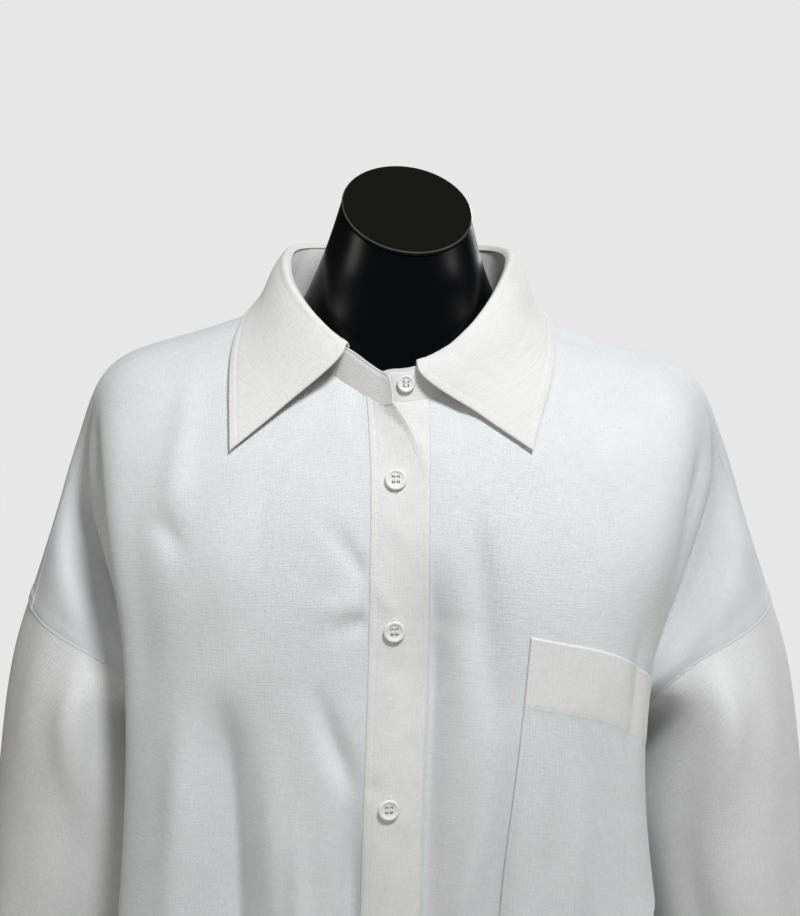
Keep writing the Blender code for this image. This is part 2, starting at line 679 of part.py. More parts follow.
def turned(name, profile, sides, finish, place):
    """A turned piece: a profile of radius and height from the axis round to the axis."""
    verts = [(0.0, 0.0, profile[0][1]), (0.0, 0.0, profile[-1][1])]
    faces = []
    for radius, height in profile:
        for k in range(sides):
            angle = 2 * math.pi * k / sides
            verts.append((radius * math.cos(angle), radius * math.sin(angle), height))
    rings = len(profile)
    last = 2 + (rings - 1) * sides
    for k in range(sides):
        after = (k + 1) % sides
        faces.append((0, 2 + after, 2 + k))
        faces.append((1, last + k, last + after))
        for r in range(rings - 1):
            low, high = 2 + r * sides, 2 + (r + 1) * sides
            faces.append((low + k, low + after, high + after, high + k))
    return link(name, verts, faces, finish, place)


def facing(point, normal):
    """Placement of a turned piece with its axis along a normal."""
    turn = Vector(normal).to_track_quat("Z", "Y").to_matrix().to_4x4()
    spot = (Vector(point) + Vector((0.0, 0.0, NECK_POINT_HEIGHT))) * MM
    return Matrix.Translation(spot) @ turn


def button(name, radius, point, normal, finish):
    """A shirt button: a turned disc with a raised rim."""
    profile = [(radius * r, BUTTON_HEIGHT * h) for r, h in BUTTON_PROFILE]
    return turned(name, profile, BUTTON_SIDES, finish, facing(point, normal))


def front_buttons(finish):
    """The row of buttons down the over placket."""
    for number, level in enumerate(BUTTON_LEVELS, 1):
        across, row = np.array(BUTTON_OFFSET), np.array(row_at_level(BUTTON_OFFSET, level))
        normal = outwards(lapped_drape, across, row)
        spot = lapped_drape(across, row) + normal * (CLOTH + BUTTON_LIFT)
        button(f"button_{number}", BUTTON_RADIUS, spot, normal, finish)


def neck_point(turns, over, share):
    """Points of the cloth's inner face at a share of the way out to the neckline, by angle."""
    across, row = (share * v for v in neckline(turns))
    return np.where(over[:, None], lapped_drape(across, row), drape(across, row))


def neck_frame(turns):
    """Neckline points, the way into the neck along the cloth, and the way the stand rises."""
    over = turns < -0.5 * math.pi
    point = neck_point(turns, over, 1.0)
    into = neck_point(turns, over, 1.0 - NECK_INWARD_STEP) - point
    into /= np.linalg.norm(into, axis=-1, keepdims=True)
    table = np.array(STAND)
    lean = curve_through(table[:, 0], table[:, 2], np.clip(turns / math.pi, -1.0, 1.0))
    flat = np.stack([-np.sin(turns), -np.cos(turns), np.zeros_like(turns)], axis=-1)
    rise = flat * lean[:, None] + (0.0, 0.0, 1.0)
    rise /= np.linalg.norm(rise, axis=-1, keepdims=True)
    return point, into, rise


def stand_height(turns):
    """Height of the stand at an angle round the neck."""
    table = np.array(STAND)
    return curve_through(table[:, 0], table[:, 1], np.clip(turns / math.pi, -1.0, 1.0))


def stand_points(turns, heights):
    """Inner face of the stand at heights above its foot, one row of heights for each angle."""
    point, into, rise = neck_frame(turns)
    along = np.sum(into * rise, axis=-1, keepdims=True)
    shift = SEAM_GAP + STAND_CLEARANCE + STIFF_CLOTH * np.sqrt(np.clip(1 - along**2, 0, 1))
    foot = point + into * shift
    return foot[:, None, :] + rise[:, None, :] * heights[:, :, None]


def collar_stand(finish):
    """The stand: a band round the neckline, with rounded ends as wide as the placket's lap."""
    end = math.pi + math.asin(BAND_HALF_WIDTH / NECK_HALF_WIDTH)
    tip = np.linspace(STAND_BEND_TURN, end, 9)
    round_back = np.linspace(-STAND_BEND_TURN, STAND_BEND_TURN, 38)[1:-1]
    turns = np.concatenate([-tip[::-1], round_back, tip])
    tail = (end - np.abs(turns)) * NECK_HALF_WIDTH
    rounded = np.sqrt(np.clip(1 - (1 - np.clip(tail / STAND_TAIL_RADIUS, 0, 1)) ** 2, 0.0, 1.0))
    height = stand_height(turns) * (STAND_TAIL_SHARE + (1 - STAND_TAIL_SHARE) * rounded)
    points = stand_points(turns, height[:, None] * np.linspace(0.0, 1.0, 4))
    normal = -grid_normals(points, False)
    return shell("collar_stand", points, points + normal * STIFF_CLOTH, finish)


def collar_button(finish):
    """The small button on the left end of the stand, square to a little patch of it."""
    turns = COLLAR_BUTTON_TURN + np.array([-0.05, 0.0, 0.05])
    heights = COLLAR_BUTTON_HEIGHT + np.array([-1.0, 0.0, 1.0])
    patch = stand_points(turns, np.tile(heights, (3, 1)))
    normal = grid_normals(patch, False)[1, 1]
    spot = patch[1, 1] + normal * (STIFF_CLOTH + BUTTON_LIFT)
    button("collar_button", SMALL_BUTTON_RADIUS, spot, normal, finish)


def fall_points(shares, steps):
    """The fall: over the roll at the top of the stand, then down to the edge on the shoulders."""
    table = np.array(FALL_EDGE)
    ends = np.interp(shares, (-1.0, 0.0, 1.0), (table[0, 0], 0.0, table[-1, 0]))
    turns = ends * math.pi
    edge = curve_through(table[:, 0], table[:, 1:], ends)
    across, row = edge[:, 0], edge[:, 1]
    over = turns < -0.5 * math.pi
    height = stand_height(turns)
    top = stand_points(turns, height[:, None] + SEAM_GAP)[:, 0]
    flat = -np.stack([-np.sin(turns), -np.cos(turns), np.zeros_like(turns)], axis=-1)
    _, _, rise = neck_frame(turns)
    right = lapped_drape(across, row) + outwards(lapped_drape, across, row) * (CLOTH + FALL_LIFT)
    left = drape(across, row) + outwards(drape, across, row) * (CLOTH + FALL_LIFT)
    lying = np.where(over[:, None], right, left)
    peak = top + rise * FALL_ROLL * 0.9 + flat * FALL_ROLL
    turn_down = top + flat * (2.1 * FALL_ROLL) - rise
    middle = (1 - FALL_MIDDLE_SHARE) * turn_down + FALL_MIDDLE_SHARE * lying
    middle += (flat + (0.0, 0.0, 0.8)) * FALL_BULGE
    path = np.stack([top, peak, turn_down, middle, lying], axis=0)
    made = curve_through(FALL_KNOTS, path.reshape(len(FALL_KNOTS), -1), np.array(steps))
    return made.reshape(len(steps), len(turns), 3).transpose(1, 0, 2)


def collar_fall(finish):
    """The fall, with closer columns towards its two points."""
    tip = np.linspace(0.8, 1.0, 5)
    round_back = np.linspace(-0.8, 0.8, 28)[1:-1]
    points = fall_points(np.concatenate([-tip[::-1], round_back, tip]), FALL_STEPS)
    normal = grid_normals(points, False)
    return shell("collar_fall", points, points + normal * STIFF_CLOTH, finish)


def pocket(finish):
    """Breast pocket: a patch on the wearer's left front, its foot cut to a blunt point."""
    table = np.array(POCKET)
    columns = np.array([c for c in OUTER_COLUMNS if POCKET_TOP <= c <= POCKET_TOP + POCKET_WIDTH])
    shares = (columns - POCKET_TOP) / POCKET_WIDTH
    top_level = curve_through(table[:, 0], table[:, 1], shares)
    foot_level = np.interp(shares, table[:, 0], table[:, 2])
    lean = POCKET_TOP - POCKET_FOOT
    top = np.array([row_at_level(c, level) for c, level in zip(columns, top_level)])
    foot = np.array([row_at_level(c - lean, level) for c, level in zip(columns, foot_level)])
    _, row = strip(columns, top, foot, np.linspace(0.0, 1.0, 9))
    across = grain(columns[:, None], row)
    return on_drape("pocket", drape, across, row, CLOTH + 2 * SEAM_GAP, CLOTH, finish)


def armhole_frame(side, rows):
    """Armhole seam points, the way the sleeve sets off and the way its outer face looks.

    Over the shoulder the sleeve carries on from the body; under the arm it stands at right angles,
    its edge lying over the cut edge of the body.
    """
    across = side * (HALF_WIDTH + half_gap_across(rows))
    seam = drape(across, rows)
    normal = outwards(drape, across, rows)
    along = np.roll(seam, -1, axis=0) - np.roll(seam, 1, axis=0)
    onward = -np.cross(normal, along) * side
    onward /= np.linalg.norm(onward, axis=-1, keepdims=True)
    turn = 0.5 * math.pi * ease((np.abs(rows) - TUCK_ROW) / TUCK_ROWS)[:, None]
    start = seam + onward * np.sin(turn) * (CLOTH + SEAM_GAP)
    set_off = onward * np.cos(turn) + normal * np.sin(turn)
    face = normal * np.cos(turn) - onward * np.sin(turn)
    under = ease((np.abs(rows) - SET_OFF_ROW) / SET_OFF_ROWS)[:, None]
    reach = SET_OFF + (SET_OFF_UNDER - SET_OFF) * under
    return start, start + set_off * reach, face


def sleeve_points(side, rows, shares):
    """The sleeve: from the armhole seam down through its level rings."""
    start, ahead, _ = armhole_frame(side, rows)
    angle = math.pi * rows / ARMPIT_ROW
    path, knots = [start, ahead], [0.0, SLEEVE_SET_OFF_SHARE]
    for ring in named(SLEEVE_RINGS, SLEEVE_COLUMNS):
        x = side * (ring["centre"] + ring["half_width"] * np.cos(angle))
        y = ring["middle_y"] + ring["half_depth"] * np.sin(angle)
        path.append(np.stack([x, y, np.full_like(x, ring["level"])], axis=-1))
        knots.append((ARMHOLE_LEVEL - ring["level"]) / SLEEVE_LENGTH)
    made = curve_through(knots, np.stack(path).reshape(len(knots), -1), shares)
    return made.reshape(len(shares), len(rows), 3).transpose(1, 0, 2)


def sleeve(name, side, finish):
    """A sleeve: a closed tube whose columns meet those of the body at the armhole."""
    front = edge_rows(YOKE_FRONT_ROW)[:FRONT_EDGE_STEPS]
    back = edge_rows(YOKE_BACK_ROWS[-1][1])[:BACK_EDGE_STEPS]
    rows = np.concatenate([-front[::-1], yoke_side_rows()[-2:0:-1], back[:-1]])
    points = sleeve_points(side, rows, np.array(SLEEVE_STEPS))
    normal = -grid_normals(points, True) * side
    normal[:, 0] = armhole_frame(side, rows)[2]
    return shell(name, points, points + normal * CLOTH, finish, closed=True)


def cuff(name, side, finish):
    """A band wound once round and lapped: the lap climbs over its own start."""
    length = 2 * math.pi * 0.5 * (CUFF_HALF_WIDTH + CUFF_HALF_DEPTH)
    share = np.linspace(0.0, 1.0 + CUFF_OVERLAP / length, CUFF_STEPS)
    lift = (STIFF_CLOTH + LAYER_GAP) * ease((share - CUFF_LAP_START) / CUFF_LAP_RUN)
    angle = side * (2 * math.pi * share + math.radians(CUFF_START))
    levels = np.linspace(CUFF_TOP, CUFF_FOOT, 3)
    points = np.stack([
        side * CUFF_CENTRE + (CUFF_HALF_WIDTH + lift) * np.cos(angle) * side,
        CUFF_MIDDLE_Y + (CUFF_HALF_DEPTH + lift) * np.sin(angle) * side,
        np.zeros_like(angle),
    ], axis=-1)
    points = np.repeat(points[:, None, :], 3, axis=1)
    points[:, :, 2] = levels
    normal = grid_normals(points, False)
    centre = np.array((side * CUFF_CENTRE, CUFF_MIDDLE_Y, 0.0))
    if np.dot(normal[5, 1], points[5, 1] - centre) < 0:
        normal = -normal
    made = shell(name, points, points + normal * STIFF_CLOTH, finish)
    spot = points[-3, 1] + normal[-3, 1] * (STIFF_CLOTH + BUTTON_LIFT)
    return made, spot, normal[-3, 1]


def form_ring(row, count):
    """One ring of the dome of the form, from the ridge of the shoulders to the first section."""
    level, half_width, front, back = FORM_SECTIONS[0]
    angle = np.linspace(0.0, 2 * math.pi, count, endpoint=False)
    s, c = np.sin(angle), np.cos(angle)
    turn = 0.5 * math.pi * row / DOME_STEPS
    ridge = np.array(RIDGE)
    ridge_x = np.sign(s) * np.abs(s) ** RIDGE_SQUARENESS * FORM_TIP
    right_z = curve_through(ridge[:, 1], ridge[:, 2], np.abs(ridge_x))
    left_z = curve_through(ridge[:, 1], ridge[:, 3], np.abs(ridge_x))
    ridge_z = np.where(s > 0, left_z, right_z) - FORM_GAP - RIDGE_DIP * np.abs(s) ** RIDGE_DIP_POWER
    foot_x = half_width * np.sign(s) * np.abs(s) ** FORM_SQUARENESS
    depth = np.where(c > 0, -front, back) * np.abs(c) ** FORM_SQUARENESS
    power = np.where(c > 0, FORM_FRONT_POWER, FORM_BACK_POWER)
    x = ridge_x + (foot_x - ridge_x) * (1 - math.cos(turn))
    z = ridge_z + (level - ridge_z) * (1 - math.cos(turn))
    return np.stack([x, depth * math.sin(turn) ** power, z], axis=-1)


def form_body(finish):
    """Limbless torso: shoulders, chest, waist and hips, closed and flat underneath."""
    angle = np.linspace(0.0, 2 * math.pi, FORM_SIDES, endpoint=False)
    s, c = np.sin(angle), np.cos(angle)
    rings = [form_ring(row, FORM_SIDES) for row in FORM_RIDGE_ROWS]
    table = np.array(FORM_SECTIONS)
    for level in FORM_LEVELS:
        width, front, back = curve_through(-table[:, 0], table[:, 1:], np.array(-level))
        x = width * np.sign(s) * np.abs(s) ** FORM_SQUARENESS
        y = np.where(c > 0, -front, back) * np.abs(c) ** FORM_SQUARENESS
        rings.append(np.stack([x, y, np.full(FORM_SIDES, level)], axis=-1))
    foot = rings[-1]
    for inset, drop in FORM_FOOT_EDGE:
        shrink = 1 - inset / FORM_FOOT_RADIUS
        rings.append(foot * (shrink, shrink, 0.0) + (0.0, 0.0, FORM_LEVELS[-1] - drop))
    body = stacked("form", rings, finish, capped_start=False)
    neck = form_neck(finish)
    join = body.modifiers.new("neck", "BOOLEAN")
    join.operation = "UNION"
    join.solver = "EXACT"
    join.object = neck
    settle(body)
    bpy.data.objects.remove(neck)
    return body


def stacked(name, rings, finish, capped_start=True):
    """A closed body from rings of points, capped at its last ring and, if asked, its first."""
    rings = np.array(rings)
    count = rings.shape[1]
    faces = []
    for r in range(len(rings) - 1):
        for k in range(count):
            a, b = r * count + k, r * count + (k + 1) % count
            faces.append((a, a + count, b + count, b))
    last = (len(rings) - 1) * count
    faces.append([last + k for k in range(count)][::-1])
    if capped_start:
        faces.append(list(range(count)))
    made = link(name, rings.reshape(-1, 3) + (0.0, 0.0, NECK_POINT_HEIGHT), faces, finish)
    weld(made)
    return made


def weld(made):
    """Merge doubled points, drop faces of no size and turn all faces to look outwards."""
    work = bmesh.new()
    work.from_mesh(made.data)
    bmesh.ops.remove_doubles(work, verts=work.verts, dist=0.02 * MM)
    bmesh.ops.dissolve_degenerate(work, edges=work.edges, dist=0.01 * MM)
    bmesh.ops.recalc_face_normals(work, faces=work.faces)
    work.to_mesh(made.data)
    work.free()


def settle(made):
    """Keep the shape a modifier gives as the mesh itself."""
    shape = made.evaluated_get(bpy.context.evaluated_depsgraph_get())
    mesh = bpy.data.meshes.new_from_object(shape)
    made.modifiers.clear()
    made.data = mesh
    mesh.shade_smooth()
    mesh.set_sharp_from_angle(angle=math.radians(50.0))


def cap_frame():
    """Centre and axes of the slanted cut at the top of the neck."""
    pitch = Matrix.Rotation(math.radians(CAP_PITCH), 3, "X")
    turn = np.array(pitch @ Matrix.Rotation(math.radians(CAP_ROLL), 3, "Y"))
    return np.array(CAP_CENTRE), turn[:, 0], turn[:, 1], turn[:, 2]


def form_neck(finish):
    """The neck: level ellipses, then the slanted ellipse of the cut."""
    angle = np.linspace(0.0, 2 * math.pi, NECK_SIDES, endpoint=False)
    rings = []
    for level, width, depth, middle in NECK:
        x = width * np.sin(angle)
        y = middle - depth * np.cos(angle)
        rings.append(np.stack([x, y, np.full(NECK_SIDES, level)], axis=-1))
    centre, right, back, up = cap_frame()
    s, c = np.sin(angle)[:, None], np.cos(angle)[:, None]
    rim = centre - up * CAP_GAP + CAP_HALF_WIDTH * s * right - CAP_HALF_LENGTH * c * back
    rings.append(0.5 * rings[-1] + 0.5 * rim - np.concatenate([s, -c, 0 * s], axis=-1) * NECK_WAIST)
    rings.append(rim)
    return stacked("neck", rings, finish)


def neck_cap(finish):
    """The flat plate on the neck, with a rounded rim."""
    angle = np.linspace(0.0, 2 * math.pi, NECK_SIDES, endpoint=False)
    centre, right, back, up = cap_frame()
    rings = []
    for inset, height in CAP_PROFILE:
        across = (CAP_HALF_WIDTH - inset) * np.sin(angle)[:, None] * right
        along = -(CAP_HALF_LENGTH - inset) * np.cos(angle)[:, None] * back
        rings.append(centre + across + along + up * height)
    stacked("neck_cap", rings, finish)


def floor_stand(finish):
    """The pole up to the foot of the form, and the round base that it stands on."""
    foot = NECK_POINT_HEIGHT - POLE_TOP
    pole = ((POLE_RADIUS, BASE_THICKNESS + POLE_GAP), (POLE_RADIUS, foot - POLE_GAP))
    turned("stand_pole", pole, POLE_SIDES, finish, Matrix.Identity(4))
    base = (
        (BASE_RADIUS, 0.0),
        (BASE_RADIUS, BASE_THICKNESS * BASE_EDGE_SHARE),
        (BASE_RADIUS - BASE_EDGE, BASE_THICKNESS),
    )
    turned("stand_base", base, BASE_SIDES, finish, Matrix.Identity(4))


def build():
    clear_scene()
    cotton = material("shirt_cotton", SHIRT_WHITE, 0.85)
    pearl = material("button_resin", BUTTON_WHITE, 0.3)
    gloss = material("form_plastic", FORM_BLACK, 0.25)
    steel = material("stand_steel", STAND_BLACK, 0.4, 0.8)
    front_panel("front_right", -1.0, cotton)
    front_panel("front_left", 1.0, cotton)
    back_panel(cotton)
    yoke(cotton)
    placket("placket_under", drape, cotton)
    placket("placket_over", lapped_drape, cotton)
    pocket(cotton)
    collar_stand(cotton)
    collar_fall(cotton)
    for word, side in (("right", -1.0), ("left", 1.0)):
        sleeve(f"sleeve_{word}", side, cotton)
        _, spot, normal = cuff(f"cuff_{word}", side, cotton)
        button(f"cuff_button_{word}", SMALL_BUTTON_RADIUS, spot, normal, pearl)
    front_buttons(pearl)
    collar_button(pearl)
    form_body(gloss)
    neck_cap(gloss)
    floor_stand(steel)


build()
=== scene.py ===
"""A loose cotton shirt on a limbless dress form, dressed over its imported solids.

Lengths are in millimetres until a mesh is made, with heights counted from the point where the
shoulder meets the side of the neck. x runs to the wearer's left and y to the back.
"""

import math

import bmesh
import bpy
import numpy as np
from mathutils import Matrix, Vector


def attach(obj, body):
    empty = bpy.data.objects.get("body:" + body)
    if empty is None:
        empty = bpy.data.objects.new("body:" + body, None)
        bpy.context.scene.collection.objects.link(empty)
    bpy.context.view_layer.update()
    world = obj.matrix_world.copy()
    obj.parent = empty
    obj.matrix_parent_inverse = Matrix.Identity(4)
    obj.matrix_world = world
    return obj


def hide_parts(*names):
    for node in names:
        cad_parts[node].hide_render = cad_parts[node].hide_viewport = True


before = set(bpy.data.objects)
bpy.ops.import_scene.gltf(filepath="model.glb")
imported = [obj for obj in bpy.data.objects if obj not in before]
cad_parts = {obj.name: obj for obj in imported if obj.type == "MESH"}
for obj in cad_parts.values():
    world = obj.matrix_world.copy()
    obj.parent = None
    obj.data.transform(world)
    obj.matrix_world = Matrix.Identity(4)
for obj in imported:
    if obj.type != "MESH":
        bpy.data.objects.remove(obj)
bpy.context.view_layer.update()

# Floor stand
# A steel pole screwed into a heavy round base, both powder coated black. The pole runs up into the
# hollow form and carries it, and the base stands flat on the floor.
MM = 0.001
NECK_POINT_HEIGHT = 830.0
POLE_RADIUS = 13.0
POLE_TOP = NECK_POINT_HEIGHT - 622.2
POLE_SIDES = 48
BASE_RADIUS = 150.0
BASE_THICKNESS = 14.0
BASE_SIDES = 128
BASE_TOP_RADII = (110.0, 60.0, 20.0)
RIM_ROUNDING = 4.0
STEEL_BLACK = (0.03, 0.03, 0.031)


def add_node(tree, kind, inputs=(), **settings):
    """One shader node; inputs pairs a socket with a value, or with the output that feeds it."""
    made = tree.nodes.new(kind)
    for key, value in settings.items():
        setattr(made, key, value)
    for key, value in inputs:
        if isinstance(value, bpy.types.NodeSocket):
            tree.links.new(value, made.inputs[key])
        else:
            made.inputs[key].default_value = value
    return made


def new_finish(name, colour, roughness, metallic=0.0):
    """A material with one principled shader, given back with its node tree and the shader."""
    finish = bpy.data.materials.new(name)
    finish.use_nodes = True
    shader = finish.node_tree.nodes["Principled BSDF"]
    shader.inputs["Base Color"].default_value = (*colour, 1.0)
    shader.inputs["Roughness"].default_value = roughness
    shader.inputs["Metallic"].default_value = metallic
    return finish, finish.node_tree, shader


def noise(tree, place, scale, detail):
    """Fine noise at a place, from 0 to 1."""
    inputs = [("Vector", place), ("Scale", scale), ("Detail", detail)]
    return add_node(tree, "ShaderNodeTexNoise", inputs).outputs["Fac"]


def remap(tree, value, low, high, to_low, to_high):
    """A value carried in a straight line from one span to another, and held at its ends."""
    inputs = [("Value", value), ("From Min", low), ("From Max", high),
              ("To Min", to_low), ("To Max", to_high)]
    return add_node(tree, "ShaderNodeMapRange", inputs).outputs["Result"]


def emboss(tree, shader, height, distance, strength):
    """Lift a shader's surface by a height, as far as a distance in metres."""
    inputs = [("Height", height), ("Distance", distance), ("Strength", strength)]
    tree.links.new(add_node(tree, "ShaderNodeBump", inputs).outputs["Normal"], shader.inputs["Normal"])


def grained(name, colour, low_rough, high_rough, grain, depth, metallic=0.0, gleam=0.5):
    """A hard finish whose roughness wanders with a fine noise, which also lifts its surface."""
    finish, tree, shader = new_finish(name, colour, low_rough, metallic)
    shader.inputs["Specular IOR Level"].default_value = gleam
    place = add_node(tree, "ShaderNodeTexCoord").outputs["Object"]
    speck = noise(tree, place, grain, 4.0)
    tree.links.new(remap(tree, speck, 0.0, 1.0, low_rough, high_rough), shader.inputs["Roughness"])
    emboss(tree, shader, speck, depth * MM, 0.5)
    return finish


def put_mesh(name, mesh, node=None):
    """An object at the origin from a finished mesh, riding on the body, in place of a solid."""
    piece = bpy.data.objects.new(name, mesh)
    bpy.context.scene.collection.objects.link(piece)
    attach(piece, "root")
    if node:
        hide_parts(node)
    return piece


def put_piece(name, rings, finish, node=None):
    """A closed piece from rings of points in millimetres above the floor, capped at both ends."""
    rings = np.asarray(rings, float)
    faces = ring_faces(*rings.shape[:2])
    mesh = bpy.data.meshes.new(name)
    mesh.from_pydata((rings.reshape(-1, 3) * MM).tolist(), [], [list(map(int, f)) for f in faces])
    mesh.shade_smooth()
    mesh.set_sharp_from_angle(angle=math.radians(40.0))
    mesh.materials.append(finish)
    return put_mesh(name, mesh, node)


def ring_faces(rings, count):
    """Quads between rings of points that follow one another outwards, and a flat cap at each end."""
    k = np.arange(count)
    after = (k + 1) % count
    faces = [list(k[::-1])]
    for r in range(rings - 1):
        low, high = r * count, (r + 1) * count
        faces += np.stack([low + k, low + after, high + after, high + k], axis=1).tolist()
    faces.append(list((rings - 1) * count + k))
    return faces


def turned_points(profile, count):
    """Points of a turned shape: each radius of the profile swept round the axis at its height."""
    angle = np.linspace(0, 2 * math.pi, count, endpoint=False)
    profile = np.asarray(profile, float)
    ring = np.stack([np.cos(angle), np.sin(angle), np.zeros(count)], axis=-1)
    up = np.array((0.0, 0.0, 1.0))
    return profile[:, 0, None, None] * ring + profile[:, 1, None, None] * up


def rounded_edge(radius, height, rounding, steps=7):
    """Quarter circle at an outer edge: from the side, turning in to the top."""
    turn = np.linspace(0, 0.5 * math.pi, steps)
    inset, drop = rounding * (1 - np.cos(turn)), rounding * (1 - np.sin(turn))
    return np.stack([radius - inset, height - drop], axis=-1)


steel = grained("stand_steel", STEEL_BLACK, 0.36, 0.5, 900.0, 0.03, metallic=0.4)
base_profile = np.concatenate([
    [(BASE_RADIUS - 1.0, 0.0), (BASE_RADIUS, 1.0)],
    rounded_edge(BASE_RADIUS, BASE_THICKNESS, RIM_ROUNDING),
    [(radius, BASE_THICKNESS) for radius in BASE_TOP_RADII],
])
put_piece("base_plate", turned_points(base_profile, BASE_SIDES), steel, "stand_base")
pole_profile = [(POLE_RADIUS, height) for height in np.linspace(BASE_THICKNESS + 0.2, POLE_TOP, 6)]
put_piece("pole", turned_points(pole_profile, POLE_SIDES), steel, "stand_pole")

# Dress form
# A limbless, headless torso moulded in glossy black plastic: round shoulders, chest, waist and
# hips, with a neck cut off on a slant.
FORM_BLACK = (0.0022, 0.0024, 0.003)
FORM_GAP = 0.45
FORM_TIP = 184.0
FORM_FOOT = -612.0
FORM_SIDES = 120
# Level, half width, depth of the front and depth of the back
FORM_SECTIONS = (
    (-190.0, 139.0, 110.0, 84.0),
    (-285.0, 126.0, 92.0, 80.0),
    (-390.0, 114.0, 84.0, 72.0),
    (-500.0, 142.0, 96.0, 90.0),
    (-570.0, 156.0, 98.0, 100.0),
    (-622.0, 152.0, 92.0, 96.0),
)
NECK_SIDES = 120
# Level, half width, half depth and the middle's y
NECK = (
    (-70.0, 96.0, 76.0, -2.0),
    (-22.0, 78.0, 66.0, -4.0),
    (-4.0, 67.0, 59.0, -5.0),
    (12.0, 58.0, 53.0, -6.0),
)
CAP_HALF_WIDTH = 40.0
CAP_HALF_LENGTH = 44.0
CAP_THICKNESS = 3.0
CAP_CENTRE = (4.0, -12.0, 62.0)
CAP_PITCH = 31.0
CAP_ROLL = 8.0
DOME_STEPS = 4
FORM_RINGS = 36
DOME_RINGS = 22
NECK_RINGS = 40
NECK_KNOTS = (0.0, 48.0, 68.0, 86.0, 112.0, 138.0)
FORM_SQUARENESS = 0.86
RIDGE_SQUARENESS = 0.9
FRONT_DOME = 1.35
BACK_DOME = 0.84
FLOOR_LIFT = np.array((0.0, 0.0, NECK_POINT_HEIGHT))
# The line of the shoulders: distance along the cloth from the centre, and where it lies
RIDGE_COLUMNS = ("across", "x", "right_z", "left_z")
RIDGE = (
    (0.0, 0.0, 18.0, 18.0),
    (60.0, 60.0, 7.0, 5.0),
    (120.0, 118.0, -12.0, -19.0),
    (190.0, 185.0, -39.0, -43.0),
)


def curve_through(knots, values, at):
    """Smooth curve through values at the knots: a cubic in each span, with three-point slopes."""
    knots = np.asarray(knots, float)
    values = np.asarray(values, float)
    flat = values.reshape(len(knots), -1)
    at = np.asarray(at, float)
    step = np.diff(knots)
    slope = np.diff(flat, axis=0) / step[:, None]
    tangent = np.empty_like(flat)
    tangent[0], tangent[-1] = slope[0], slope[-1]
    near, far = step[:-1, None], step[1:, None]
    tangent[1:-1] = (far * slope[:-1] + near * slope[1:]) / (near + far)
    span = np.clip(np.searchsorted(knots, at.ravel(), side="right") - 1, 0, len(step) - 1)
    width = step[span][:, None]
    t = (at.ravel() - knots[span])[:, None] / width
    inside = np.clip(t, 0.0, 1.0)
    past = (t - inside) * width
    made = (
        flat[span] * (1 + 2 * inside) * (1 - inside) ** 2
        + tangent[span] * width * inside * (1 - inside) ** 2
        + flat[span + 1] * inside**2 * (3 - 2 * inside)
        + tangent[span + 1] * width * inside**2 * (inside - 1)
    )
    made += past * np.where(t < 0, tangent[span], tangent[span + 1])
    return made.reshape(*at.shape, *values.shape[1:])


def squared(wave, power):
    """A sine or cosine to a power below 1 with its sign kept, which squares off a round section."""
    return np.sign(wave) * np.abs(wave) ** power


def shoulder_ring(row, angle):
    """A ring of the shoulders: from the ridge it eases out and down to the first level section."""
    level, half_width, front, back = FORM_SECTIONS[0]
    s, c = np.sin(angle), np.cos(angle)
    turn = 0.5 * math.pi * row / DOME_STEPS
    ridge = np.array(RIDGE)
    over = squared(s, RIDGE_SQUARENESS) * FORM_TIP
    right_z = curve_through(ridge[:, 1], ridge[:, 2], np.abs(over))
    left_z = curve_through(ridge[:, 1], ridge[:, 3], np.abs(over))
    ridge_z = np.where(s > 0, left_z, right_z) - FORM_GAP - 1.6 * np.abs(s) ** 8
    foot_x = half_width * squared(s, FORM_SQUARENESS)
    depth = np.where(c > 0, -front, back) * np.abs(c) ** FORM_SQUARENESS
    power = np.where(c > 0, FRONT_DOME, BACK_DOME)
    x = over + (foot_x - over) * (1 - math.cos(turn))
    z = ridge_z + (level - ridge_z) * (1 - math.cos(turn))
    return np.stack([x, depth * math.sin(turn) ** power, z], axis=-1)


def torso_ring(level, angle):
    """A level ring of the torso: a squared-off ellipse, deeper at the front than at the back."""
    table = np.array(FORM_SECTIONS)
    width, front, back = curve_through(-table[:, 0], table[:, 1:], np.array(-level))
    s, c = np.sin(angle), np.cos(angle)
    x = width * squared(s, FORM_SQUARENESS)
    y = np.where(c > 0, -front, back) * np.abs(c) ** FORM_SQUARENESS
    return np.stack([x, y, np.full(len(angle), level)], axis=-1)


def cap_axes():
    """Centre of the slanted cut at the top of the neck, and its ways right, back and up."""
    turn = np.array(Matrix.Rotation(math.radians(CAP_PITCH), 3, "X")
                    @ Matrix.Rotation(math.radians(CAP_ROLL), 3, "Y"))
    return np.array(CAP_CENTRE), turn[:, 0], turn[:, 1], turn[:, 2]


def form_torso(finish):
    """The torso from the hips up to the line of the shoulders, closed flat underneath."""
    angle = np.linspace(0, 2 * math.pi, FORM_SIDES, endpoint=False)
    foot = torso_ring(FORM_FOOT, angle)
    rings = []
    for inset, drop in ((10.0, 10.0), (3.0, 7.0)):
        shrink = 1 - inset / 150.0
        rings.append(foot * (shrink, shrink, 0.0) + (0.0, 0.0, FORM_FOOT - drop))
    rings += [torso_ring(level, angle) for level in np.linspace(FORM_FOOT, FORM_SECTIONS[0][0], FORM_RINGS)]
    rings += [shoulder_ring(row, angle) for row in np.linspace(DOME_STEPS, 0.0, DOME_RINGS)[1:]]
    return put_piece("form_shell", np.array(rings) + FLOOR_LIFT, finish, "form")


